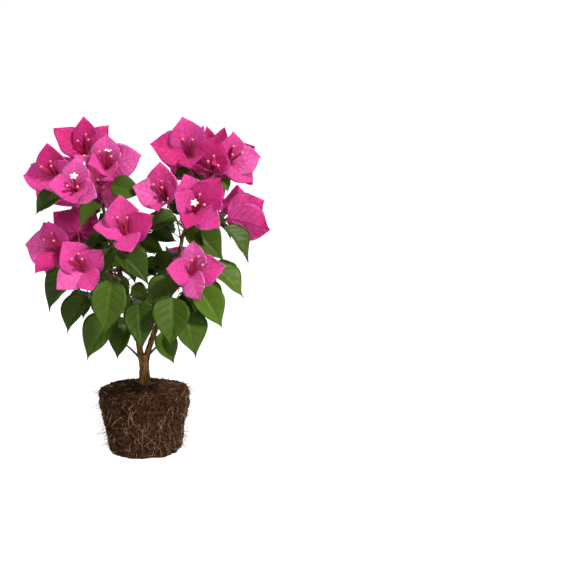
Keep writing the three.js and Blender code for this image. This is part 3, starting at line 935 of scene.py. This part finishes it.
def sweep_stems(name, lines, sides, finish):
    """One piece from lines, each a list of points and the radii at its two ends."""
    points, edges, radii = [], [], []
    for line, (first, last) in lines:
        start = len(points)
        points += line
        edges += [(start + k, start + k + 1) for k in range(len(line) - 1)]
        radii += [first + (last - first) * k / (len(line) - 1) for k in range(len(line))]
    mesh = bpy.data.meshes.new(name + "_lines")
    mesh.from_pydata(points, edges, [])
    mesh.attributes.new("thickness", "FLOAT", "POINT").data.foreach_set("value", radii)
    piece = grown(name, mesh, stem_tree, stem_sockets, {"Sides": sides}, finish)
    piece.data.shade_smooth()
    return piece


def settle(piece, nodes):
    """Hangs the piece on the root body, hides the frame parts that it stands in for, and prints its
    triangles.
    """
    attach(piece, "root")
    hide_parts(*nodes)
    print(piece.name, "has", sum(len(f.vertices) - 2 for f in piece.data.polygons), "triangles")


print("tree:", stem_tree.name)

# %% [markdown]
# ## Flowers in their places
#
# A flower's face is a plane with its own across and up. A bract lies on it in some direction, and the
# shorter it looks from the front, the more it leans out towards the viewer. The throat sits a little
# behind the face, where the stalk comes in.

# %% Collect the flowers
BRACT_LENGTH = 52 * MM
FULL_OUT = math.cos(math.radians(17))
THROAT_DEPTH = 4 * MM
FUNNEL_DEPTH = 5 * MM
TUBE_WIDTH = 38 * MM
TUBE_REACH = 27 * MM
BRACT_RISE, TUBE_RISE = 0.28, 0.8  # how far each leaves the flower's face, 1 being straight out
rng = random.Random(11)
bract_spots = [[], [], []]
tube_spots, bud_spots, star_spots, cup_spots = [], [], [], []
stalk_lines = []


def face_axes(turn, lift):
    a, e = math.radians(turn), math.radians(lift)
    face = Vector((math.sin(a) * math.cos(e), -math.cos(a) * math.cos(e), math.sin(e)))
    across = Vector((math.cos(a), math.sin(a), 0))
    return face, across, face.cross(across)


def turned(x, y, z):
    """A 3x3 turn whose columns are the three directions."""
    return Matrix((x, y, z)).transposed()


def bend_line(start, end, lift, count=7):
    """An arc from start to end whose middle rises by half of lift."""
    middle = (start + end) / 2 + UP * lift
    shares = [k / (count - 1) for k in range(count)]
    return [start * (1 - t) ** 2 + middle * (2 * t * (1 - t)) + end * t**2 for t in shares]


def seen_way(way, seen, length, face, rise):
    """The direction of something that long which looks seen mm long from the front, towards way.
    Of the two that would, it takes the one that rises from the flower's face nearest to rise."""
    a, share = math.radians(way), min(FULL_OUT, seen * MM / length)
    flat = (Vector((math.cos(a), 0, 0)) + EYE_UP * math.sin(a)) * share
    deep = TO_EYE * math.sqrt(1 - share * share)
    return min((flat + deep, flat - deep), key=lambda d: abs(d.dot(face) - rise))


def add_flower(centre, turn, lift, tone_at, aim, open_tube, petals, root):
    """Bracts, tubes and stalk of one flower."""
    face, across, up = face_axes(turn, lift)
    throat = centre - face * THROAT_DEPTH
    for way, seen, *more in petals:
        length = max(seen * MM / FULL_OUT, 0.86 * BRACT_LENGTH)
        along = seen_way(way, seen, length, face, BRACT_RISE)
        normal = (face - along * face.dot(along)).normalized()
        tilt = Matrix.Rotation(0.1 + rng.uniform(-0.1, 0.1), 3, along)
        matrix = tilt @ turned(along.cross(normal), along, normal)
        width = length * rng.uniform(0.96, 1.08) * (more[0] if more else 1.0)
        # A given number of tones deeper is painted shade on a bract that lies in shadow; without one the
        # tone varies at random
        deeper = more[1] if len(more) > 1 else rng.choice((-1, 0, 0, 0, 0, 1))
        tint = min(2, max(0, tone_at + deeper))
        spot = (throat - along * 1.5 * MM, matrix, (width, length, length), rng.randrange(99))
        bract_spots[tint].append(spot)
    foot = throat - face * FUNNEL_DEPTH
    cup_spots.append((foot, turned(across, up, face), (22 * MM,) * 3, 0))
    bundle = seen_way(*aim, TUBE_REACH, face, TUBE_RISE)
    for k in range(3):
        a = math.radians(80 + 120 * k + rng.uniform(-20, 20))
        lean = across * math.cos(a) + up * math.sin(a)
        way = (bundle + lean * 0.17).normalized()
        side = (lean - way * lean.dot(way)).normalized()
        length = rng.uniform(26, 30) * MM
        matrix = turned(side, way.cross(side), way)
        spot = (foot + lean * 1.6 * MM, matrix, (TUBE_WIDTH, TUBE_WIDTH, length), 0)
        tube_spots.append(spot)
        (star_spots if k == open_tube else bud_spots).append(spot)
    stalk_lines.append((bend_line(root, foot, rng.uniform(2, 9) * MM), (1.0 * MM, 0.8 * MM)))


near_rows = []
far_rows = []
for limb_name, sides, flowers in HEADS:
    root = limbs[limb_name].at(1)
    for place, turn, lift, tone_at, aim, open_tube, petals in flowers:
        centre = root + Vector(place) * MM
        near_rows.append((centre, turn, lift, tone_at, aim, open_tube, petals, root))
        twin_root = limbs["far_" + limb_name].at(1) if sides == "far" else root
        if sides == "far" or (sides == "both" and centre.y < -15 * MM):
            ways = [(90 * k + rng.uniform(-18, 18) + 45, rng.uniform(38, 50)) for k in range(4)]
            star = rng.choice((0, 9, 9))
            far_rows.append((far_place(centre), 180 - turn, lift, tone_at, (90, 14), star, ways, twin_root))
for row in near_rows + far_rows:
    add_flower(*row)
print(len(near_rows), "flowers in front,", len(far_rows), "behind,", sum(map(len, bract_spots)), "bracts")

# %% Make the flowers
for name, spots, finish in zip(("bracts_bright", "bracts_rose", "bracts_deep"), bract_spots, BRACT_FINISHES):
    settle(set_shapes(name, spots, bract_blades, finish), bloom_nodes)
settle(set_shapes("bract_veins", sum(bract_spots, []), bract_ribs, bract_vein_finish), bloom_nodes)
settle(set_shapes("flower_tubes", tube_spots, tubes, tube_finish), bloom_nodes)
settle(set_shapes("flower_cups", cup_spots, cups, tube_finish), bloom_nodes)
settle(set_shapes("flower_buds", bud_spots, buds, bud_finish), bloom_nodes)
settle(set_shapes("flower_stars", star_spots, stars, star_finish), bloom_nodes)
settle(set_shapes("flower_eyes", star_spots, eyes, eye_finish), bloom_nodes)

# %% [markdown]
# ## Leaves in their places
#
# The plan gives the leaves that make the outline. The rest follow the plant's own rule: buds stand along
# every twig and bough at the golden angle, each with a short stalk and a leaf that hangs by its weight,
# except where that leaf would close one of the plan's openings.
# A leaf's tint is painted light and shade: leaves inside the crown mostly get the deepest green, those on
# the left get darker greens, and those to the right, towards the main light, get paler ones, each with some
# random spread.

# %% Collect the leaves
GOLDEN = math.radians(137.5)
LEAF_STALK = 7 * MM
LOWEST_SMALL_LEAF = 240 * MM
LEAF_TWIG, LEAF_TWIGLET = (1.4 * MM, 0.7 * MM), (0.8 * MM, 0.6 * MM)  # radii at the two ends
rng = random.Random(23)
leaf_spots = [[], [], []]
twig_lines = []


def across_opening(p, length):
    """Whether a leaf of that length, with p on its midrib, would hide an opening from the front."""
    seen = Vector((p.x - (p.x - AIM.x) * p.y / DISTANCE, 0, p.z + FAR_SLOPE * p.y))
    return any((seen - Vector(place) * MM).length < radius * MM + 0.2 * length for place, radius in OPENINGS)


def add_leaf(start, way, length, facing, shade, roll=0.0, named=False):
    """A leaf that grows from start along way, with its upper side towards facing.
    One that the plan doesn't name is left out where it would close an opening."""
    way = way.normalized()
    normal = facing - way * facing.dot(way)
    if normal.length < 0.05:
        normal = UP - way * UP.dot(way)
    normal = normal.normalized()
    matrix = Matrix.Rotation(roll, 3, way) @ turned(way.cross(normal), way, normal)
    size = (length * rng.uniform(0.94, 1.04), length, length)
    spot = (start, matrix, size, rng.randrange(99))
    along = [start + way * length * share for share in (0.2, 0.5, 0.8)]
    if named or not any(across_opening(p, length) for p in along):
        leaf_spots[min(2, max(0, shade))].append(spot)


# Painted light and shade: paler tints on the right where the main light falls, deeper ones on the left and
# inside the crown where shade falls
def leaf_tint_by_light(p, inner=False):
    if inner:
        return 2 if rng.random() < 0.75 else 1
    if p.x > 0.07:
        return rng.choice((0, 0, 1))
    return rng.choice((1, 1, 2)) if p.x > -0.06 else rng.choice((1, 2, 2))


for limb_name, share, leaves in SPRAYS:
    for far in (False, True):
        limb = limbs["far_" + limb_name] if far and "far_" + limb_name in limbs else limbs[limb_name]
        line = None
        for place, reach, face in leaves:
            base = Vector(place) * MM
            way = Vector(reach) * MM
            facing = Vector((math.sin(math.radians(face)), -math.cos(math.radians(face)), 0.45))
            if far:
                base = far_place(base)
                way = Vector((way.x, -way.y, way.z)) * FAR_SCALE
                facing.y *= -1
            if line is None:
                root = limb.at(share)
                line = bend_line(root, base, 0.16 * (base - root).length, 12)
                twig_lines.append((line, LEAF_TWIG))
            else:
                joint = min(line[2:], key=lambda p: (p - base).length + 0.4 * abs(p.y - base.y))
                twig_lines.append((bend_line(joint, base, 2 * MM, 6), LEAF_TWIGLET))
            add_leaf(base, way, way.length, facing, leaf_tint_by_light(base), rng.uniform(-0.1, 0.1), not far)
        # Smaller leaves that a long twig carries on its way out
        long = (line[-1] - line[0]).length
        outward = (line[-1] - line[0]).normalized()
        for k, at in enumerate((0.4, 0.7) if far and long > 45 * MM else (0.5,) if long > 60 * MM else ()):
            base = line[round(at * (len(line) - 1))]
            if base.z < LOWEST_SMALL_LEAF:
                continue
            swing = Matrix.Rotation(GOLDEN * k + rng.uniform(0, 6), 3, outward)
            swing = swing @ outward.orthogonal().normalized()
            way = (outward * 0.5 + swing * 0.7 + Vector((0, 0, -0.75))).normalized()
            stalk_end = base + way * LEAF_STALK
            stalk = [base, base + way * LEAF_STALK * 0.5 + UP * MM, stalk_end]
            twig_lines.append((stalk, LEAF_TWIGLET))
            facing = Vector((base.x / 0.15, base.y / 0.06, 0.6))
            add_leaf(stalk_end, way, rng.uniform(30, 44) * MM, facing, leaf_tint_by_light(base, True))
print(sum(map(len, leaf_spots)), "leaves on twigs")

# %% Leaves straight off the boughs
LEAF_EVERY = 19 * MM
LOWEST_BOUGH_LEAF = 215 * MM
for node, limb in limbs.items():
    count = int(limb.length / LEAF_EVERY)
    for k in range(count):
        share = (k + 0.5) / count
        base = limb.at(share)
        if base.z < LOWEST_BOUGH_LEAF:
            continue
        heading = limb.heading(share)
        out = Matrix.Rotation(GOLDEN * k + rng.uniform(-0.3, 0.3), 3, heading)
        out = out @ heading.orthogonal().normalized()
        if out.y < 0 and base.y > -30 * MM:
            out.y *= -1  # the near side is left to the named leaves
        way = (out * 0.8 + heading * 0.2 - UP * rng.uniform(0.3, 1.1)).normalized()
        foot = base + out * limb.radius(share) * 0.8
        reach = rng.uniform(8, 16) * MM
        tip = foot + (out + UP * 0.4).normalized() * reach
        twig_lines.append((bend_line(foot, tip, 1.5 * MM, 4), LEAF_TWIGLET))
        facing = Vector((1.3 * out.x, 1.3 * out.y, 0.6))
        add_leaf(tip, way, rng.uniform(34, 52) * MM, facing, leaf_tint_by_light(base, True))
for limb_name, foot, reach in SHOOTS:
    start = limbs[limb_name].at(0) + Vector(foot) * MM
    twig_lines.append((bend_line(start, start + Vector(reach) * MM, 4 * MM, 8), (1.9 * MM, 0.9 * MM)))
print(sum(map(len, leaf_spots)), "leaves in all")

# %% Make the leaves and the twigs
# Pale, middle and dark leaf pieces; their tints are partly painted light and painted shade
for name, spots, finish in zip(("leaves_fresh", "leaves_green", "leaves_dark"), leaf_spots, LEAF_FINISHES):
    settle(set_shapes(name + "_blades", spots, leaf_blades, finish), leaf_nodes)
settle(set_shapes("leaf_ribs", sum(leaf_spots, []), leaf_ribs, leaf_vein_finish), leaf_nodes)
settle(sweep_stems("twigs", twig_lines, 7, twig_finish), leaf_nodes)
settle(sweep_stems("flower_stalks", stalk_lines, 7, stalk_finish), bloom_nodes)

# %% [markdown]
# ## Trunk and boughs
#
# Rough tubes are laid along the centre lines, melted into one skin by a voxel remesh, and smoothed where
# they fork. Then the bark is carved: noise that is stretched along the wood gives long shallow furrows, and
# its depth follows the thickness of the limb.

# %% One skin for all the wood
trunk_low, trunk_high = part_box(TRUNK_NODE)
soil_low, soil_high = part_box(SOIL_NODE)
TRUNK_SIDES = 40


def trunk_radius(share, angle):
    """The trunk's outline at a share of its height: root flare, waist, and a wide flat fork."""
    half = (trunk_high.x - trunk_low.x) / 2
    waist = 0.5 * half
    lobes = 1 + 0.3 * math.sin(3 * angle + 0.6) + 0.16 * math.sin(5 * angle)
    flare = (half - waist) * (1 - share) ** 4 * lobes
    wide = waist + flare + (0.66 * half - waist) * share**2
    deep = waist + flare
    return math.hypot(wide * math.cos(angle), deep * math.sin(angle))


def tube_into(mesh, line, radius_at, sides):
    """Adds a capped tube along line to a bmesh; radius_at(share, angle) is its outline."""
    side = Vector((1, 0, 0))
    rings = []
    for k, p in enumerate(line):
        ahead = (line[min(k + 1, len(line) - 1)] - line[max(k - 1, 0)]).normalized()
        side = (side - ahead * side.dot(ahead)).normalized()
        up = ahead.cross(side)
        share = k / (len(line) - 1)
        ring = []
        for i in range(sides):
            a = 2 * math.pi * i / sides
            outward = side * math.cos(a) + up * math.sin(a)
            ring.append(mesh.verts.new(p + outward * radius_at(share, a)))
        rings.append(ring)
    for low, high in zip(rings, rings[1:]):
        for i in range(sides):
            j = (i + 1) % sides
            mesh.faces.new((low[i], low[j], high[j], high[i]))
    mesh.faces.new(list(reversed(rings[0])))
    mesh.faces.new(rings[-1])


wood = bmesh.new()
trunk_foot = Vector((0, 0, trunk_low.z - 5 * MM)) + Vector(((trunk_low.x + trunk_high.x) / 2, 0, 0))
trunk_top = Vector((trunk_foot.x - MM, 0, trunk_high.z + 1 * MM))
tube_into(wood, [trunk_foot.lerp(trunk_top, k / 30) for k in range(31)], trunk_radius, TRUNK_SIDES)
skeleton = [(trunk_foot.lerp(trunk_top, k / 12), 8 * MM) for k in range(13)]
for node, limb in limbs.items():
    line = list(limb.line)
    if node in ("left_bough", "right_bough"):
        deep = trunk_top.lerp(line[0], 0.45) - UP * 14 * MM
        shallow = trunk_top.lerp(line[0], 0.8) - UP * 5 * MM
        line = [deep, shallow, *line]
    else:
        line = [line[0] - limb.heading(0) * 4 * MM, *line]
    first, last = limb.ends
    tube_into(wood, line, lambda share, angle: first + (last - first) * share, 12)
    skeleton += [(p, first + (last - first) * k / len(line)) for k, p in enumerate(line)]

# Short stubs of last year's side shoots
STUBS = [("left_bough", 0.06, 150), ("right_bough", 0.09, 20), ("left_bough", 0.17, 200),
         ("right_bough", 0.2, -30), ("left_bough", 0.33, 160), ("right_bough", 0.42, 40)]
stub_rng = random.Random(5)
for node, share, turn in STUBS:
    limb = limbs[node]
    start = limb.at(share)
    way = Vector((math.cos(math.radians(turn)), math.sin(math.radians(turn)), 0.9)).normalized()
    reach = stub_rng.uniform(9, 15) * MM
    line = [start + way * reach * k / 5 for k in range(6)]
    tube_into(wood, line, lambda s, a: (1.7 - 0.5 * s) * MM, 8)

wood_mesh = bpy.data.meshes.new("bark")
wood.to_mesh(wood_mesh)
wood.free()
bark = bpy.data.objects.new("bark", wood_mesh)
scene.collection.objects.link(bark)
melt = bark.modifiers.new("melt", "REMESH")
melt.mode = "VOXEL"
melt.voxel_size = 0.75 * MM
ease = bark.modifiers.new("ease", "SMOOTH")
ease.factor = 0.5
ease.iterations = 3
depsgraph = bpy.context.evaluated_depsgraph_get()
melted = bpy.data.meshes.new_from_object(bark.evaluated_get(depsgraph), depsgraph=depsgraph)
bark.modifiers.clear()
bark.data = melted
melted.name = "bark"
print("wood skin:", len(melted.vertices), "points")

# %% Carve the bark
tree_of_wood = kdtree.KDTree(len(skeleton))
for i, (p, _) in enumerate(skeleton):
    tree_of_wood.insert(p, i)
tree_of_wood.balance()
normals = [v.normal.copy() for v in melted.vertices]
for vertex, normal in zip(melted.vertices, normals):
    p = vertex.co
    _, nearest, _ = tree_of_wood.find(p)
    thick = skeleton[nearest][1]
    furrow = noise.noise(Vector((p.x * 420, p.y * 420, p.z * 70)))
    knot = noise.noise(p * 130)
    grain = noise.noise(Vector((p.x * 1100, p.y * 1100, p.z * 240)))
    vertex.co = p + normal * thick * (0.1 * (1 - 2.2 * abs(furrow)) + 0.12 * knot + 0.05 * grain)
melted.shade_smooth()
melted.materials.clear()
melted.materials.append(bark_finish)
settle(bark, [TRUNK_NODE, *limb_nodes])

# %% [markdown]
# ## The root ball
#
# Compost that has kept the shape of its pot: tapered sides, a rounded shoulder and a crumbly mound round the
# trunk. It is a surface of revolution with several sizes of lump in it. A tree scatters crumbs over it, and
# fine roots run over its side and stand out from it like hair.

# %% The lumpy body
RIM = (soil_high.x - soil_low.x) / 2
TALL = soil_high.z
SOIL_PROFILE = [
    (0.0, 0.0), (0.72, 0.0), (0.765, 0.02), (0.785, 0.08), (0.86, 0.35), (0.935, 0.62), (0.99, 0.86),
    (0.985, 0.92), (0.94, 0.965), (0.8, 0.985), (0.5, 1.0), (0.2, 1.03), (0.0, 1.04),
]
soil_outline = [(r * RIM, z * TALL) for r, z in SOIL_PROFILE]
profile_steps = [math.dist(a, b) for a, b in zip(soil_outline, soil_outline[1:])]
PROFILE_RUN = np.concatenate([[0], np.cumsum(profile_steps)])
LUMPS = ((2.6, 38), (1.9, 90), (1.1, 210), (0.6, 520))  # height in mm and how many to the metre


def soil_point(share, angle, proud=0.0):
    """A point on the ball's lumpy skin: share 0 is the middle of the foot and 1 the top, under the trunk."""
    run = share * PROFILE_RUN[-1]
    radius = float(np.interp(run, PROFILE_RUN, [r for r, _ in SOIL_PROFILE])) * RIM
    height = float(np.interp(run, PROFILE_RUN, [z for _, z in SOIL_PROFILE])) * TALL
    p = Vector((radius * math.cos(angle), radius * math.sin(angle), height))
    out = Vector((p.x, p.y, 0.5 * (p.z - 0.5 * TALL))).normalized() if p.length else UP
    firm = min(1.0, max(0.0, radius / (0.2 * RIM)))
    lump = sum(tall * noise.noise(p * many) for tall, many in LUMPS)
    rough = 1.0 + 1.3 * min(1.0, max(0.0, (share - 0.7) / 0.08))
    p += out * (lump * rough * (0.35 + 0.65 * firm) * MM + proud)
    return Vector((p.x, p.y, max(0.0, p.z)))


SPOKES, HOOPS = 230, 120
soil_points = [soil_point(0, 0)]
for j in range(1, HOOPS):
    soil_points += [soil_point(j / HOOPS, 2 * math.pi * k / SPOKES) for k in range(SPOKES)]
soil_points.append(soil_point(1, 0))
soil_faces = []
last_point = len(soil_points) - 1
for k in range(SPOKES):
    m = (k + 1) % SPOKES
    soil_faces.append((0, 1 + m, 1 + k))
    top_ring = 1 + (HOOPS - 2) * SPOKES
    soil_faces.append((last_point, top_ring + k, top_ring + m))
    for j in range(HOOPS - 2):
        low, high = 1 + j * SPOKES, 1 + (j + 1) * SPOKES
        soil_faces.append((low + k, low + m, high + m, high + k))
soil_mesh = bpy.data.meshes.new("root_ball_earth")
soil_mesh.from_pydata(soil_points, [], soil_faces)
soil_mesh.shade_smooth()
soil_mesh.materials.append(earth_finish)
soil = bpy.data.objects.new("root_ball_earth", soil_mesh)
scene.collection.objects.link(soil)
settle(soil, [SOIL_NODE])

# %% Crumbs
crumb_tree, crumb_in, crumb_out, crumb_sockets = new_tree(
    "crumbs on a surface",
    [("Shapes", "NodeSocketCollection"), ("Density", "NodeSocketFloat"), ("Smallest", "NodeSocketFloat"),
     ("Largest", "NodeSocketFloat"), ("Seed", "NodeSocketInt"), ("Finish", "NodeSocketMaterial")],
)
scatter = crumb_tree.nodes.new("GeometryNodeDistributePointsOnFaces")
crumb_pick = crumb_tree.nodes.new("GeometryNodeCollectionInfo")
crumb_pick.inputs["Separate Children"].default_value = True
crumb_pick.inputs["Reset Children"].default_value = True
crumb_on = crumb_tree.nodes.new("GeometryNodeInstanceOnPoints")
crumb_on.inputs["Pick Instance"].default_value = True
any_size = crumb_tree.nodes.new("FunctionNodeRandomValue")
any_size.data_type = "FLOAT"
any_turn = crumb_tree.nodes.new("FunctionNodeRandomValue")
any_turn.data_type = "FLOAT_VECTOR"
any_turn.inputs["Max"].default_value = (6.28, 6.28, 6.28)
for a, b in (
    (crumb_in.outputs["Geometry"], scatter.inputs["Mesh"]),
    (crumb_in.outputs["Density"], scatter.inputs["Density"]),
    (crumb_in.outputs["Seed"], scatter.inputs["Seed"]),
    (scatter.outputs["Points"], crumb_on.inputs["Points"]),
    (crumb_in.outputs["Shapes"], crumb_pick.inputs["Collection"]),
    (crumb_pick.outputs[0], crumb_on.inputs["Instance"]),
    (crumb_in.outputs["Smallest"], any_size.inputs[2]),
    (crumb_in.outputs["Largest"], any_size.inputs[3]),
    (crumb_in.outputs["Seed"], any_size.inputs["Seed"]),
    (any_size.outputs[1], crumb_on.inputs["Scale"]),
    (any_turn.outputs[0], crumb_on.inputs["Rotation"]),
):
    crumb_tree.links.new(a, b)
end_tree(crumb_tree, crumb_in, crumb_out, crumb_on.outputs["Instances"])


def crumb_mesh(seed):
    """A lump of compost of about unit size."""
    rng = random.Random(seed)
    lump = bmesh.new()
    bmesh.ops.create_icosphere(lump, subdivisions=1, radius=1)
    for vertex in lump.verts:
        vertex.co *= rng.uniform(0.6, 1.25)
        vertex.co.z *= 0.75
    mesh = bpy.data.meshes.new(f"crumb_{seed}")
    lump.to_mesh(mesh)
    lump.free()
    return mesh


crumbs = shape_collection("crumb_shape", [crumb_mesh(seed) for seed in range(6)])
bed = soil_mesh.copy()
crumb_values = {"Shapes": crumbs, "Density": 110000.0, "Smallest": 0.5 * MM, "Largest": 1.9 * MM, "Seed": 4}
soil_crumbs = grown("soil_crumbs", bed, crumb_tree, crumb_sockets, crumb_values, crumb_finish)
low_enough = bmesh.new()
low_enough.from_mesh(soil_crumbs.data)
for vertex in low_enough.verts:
    vertex.co.z = max(vertex.co.z, 0.0)
low_enough.to_mesh(soil_crumbs.data)
low_enough.free()
settle(soil_crumbs, [SOIL_NODE])

# %% Fine roots
HAIR_LEVELS = (0.27, 0.31, 0.36, 0.4, 0.45, 0.5, 0.55, 0.6, 0.64, 0.68, 0.76, 0.85)  # shares up the ball
root_rng = random.Random(31)
root_lines = [[], []]  # pale, brown


def crawling_root(share, angle, heading, length, lift, wander):
    """A root that creeps over the ball's skin, a little proud of it. Heading -90 degrees is downwards."""
    line, step = [], 3.5 * MM
    for _ in range(max(3, int(length / step))):
        line.append(soil_point(share, angle, lift + root_rng.uniform(-0.4, 0.5) * MM))
        heading += root_rng.gauss(0, wander)
        share += math.sin(heading) * step / PROFILE_RUN[-1]
        share = min(0.98, max(0.262, share))
        radius = max(8 * MM, math.hypot(line[-1].x, line[-1].y))
        angle += math.cos(heading) * step / radius
    return [Vector((p.x, p.y, max(p.z, 0.7 * MM))) for p in smooth_points(line, 1.8 * MM)]


def standing_hair(share, angle, length):
    """A hair root that leaves the skin and curls in the air."""
    p = soil_point(share, angle, -1 * MM)
    if share > 0.62:
        steep = root_rng.uniform(0.2, 1.0)
    else:
        steep = root_rng.uniform(-2.6, 0.1) if share > 0.33 else root_rng.uniform(-0.2, 0.4)
    way = Vector((math.cos(angle), math.sin(angle), steep)).normalized()
    bend = Vector((root_rng.gauss(0, 0.2), root_rng.gauss(0, 0.2), root_rng.gauss(-0.15, 0.2)))
    line = [p]
    for _ in range(6):
        line.append(line[-1] + way * length / 6)
        way = (way + bend).normalized()
    return [Vector((q.x, q.y, max(q.z, 0.5 * MM))) for q in line]


def any_angle():
    return root_rng.uniform(0, 2 * math.pi)


# Pale roots mostly run down the side, and a few leave from the foot of the trunk
for _ in range(64):
    heading = -math.pi / 2 + root_rng.gauss(0, 0.6)
    share, angle, length = root_rng.uniform(0.34, 0.68), any_angle(), root_rng.uniform(18, 70) * MM
    line = crawling_root(share, angle, heading, length, 0.5 * MM, 0.17)
    root_lines[0].append((line, (root_rng.uniform(0.22, 0.4) * MM, 0.14 * MM)))
for _ in range(9):
    line = crawling_root(0.95, any_angle(), -math.pi / 2, root_rng.uniform(30, 75) * MM, 0.5 * MM, 0.2)
    root_lines[0].append((line, (0.55 * MM, 0.18 * MM)))
# Brown ones run every way, hairs of both kinds stand out, and more brown roots creep over the top
for _ in range(420):
    share, angle, heading = root_rng.uniform(0.28, 0.9), any_angle(), any_angle()
    line = crawling_root(share, angle, heading, root_rng.uniform(12, 42) * MM, 0.5 * MM, 0.22)
    root_lines[1].append((line, (root_rng.uniform(0.18, 0.34) * MM, 0.12 * MM)))
for _ in range(620):
    share = root_rng.choice(HAIR_LEVELS) + root_rng.uniform(-0.01, 0.02)
    line = standing_hair(share, any_angle(), root_rng.choice((7, 10, 13, 18)) * MM)
    root_lines[root_rng.random() < 0.76].append((line, (0.3 * MM, 0.17 * MM)))
for _ in range(150):
    share, angle, heading = root_rng.uniform(0.72, 0.95), any_angle(), any_angle()
    line = crawling_root(share, angle, heading, root_rng.uniform(14, 40) * MM, 0.7 * MM, 0.3)
    root_lines[1].append((line, (root_rng.uniform(0.22, 0.36) * MM, 0.14 * MM)))
pale_root_finish = plain_finish("root_pale", "9C7A58", 0.7)
brown_root_finish = plain_finish("root_brown", "4E3420", 0.75)
settle(sweep_stems("roots_pale", root_lines[0], 4, pale_root_finish), [SOIL_NODE])
settle(sweep_stems("roots_brown", root_lines[1], 4, brown_root_finish), [SOIL_NODE])

# %% [markdown]
# ## Measure and finish
#
# The model is meant to fill the frame's box and not grow past it; the box round everything drawn is printed
# in millimetres.

# %% Sizes and the last line
low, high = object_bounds()
print("visual box in mm:", [round(v / MM) for v in (*low, *high)])
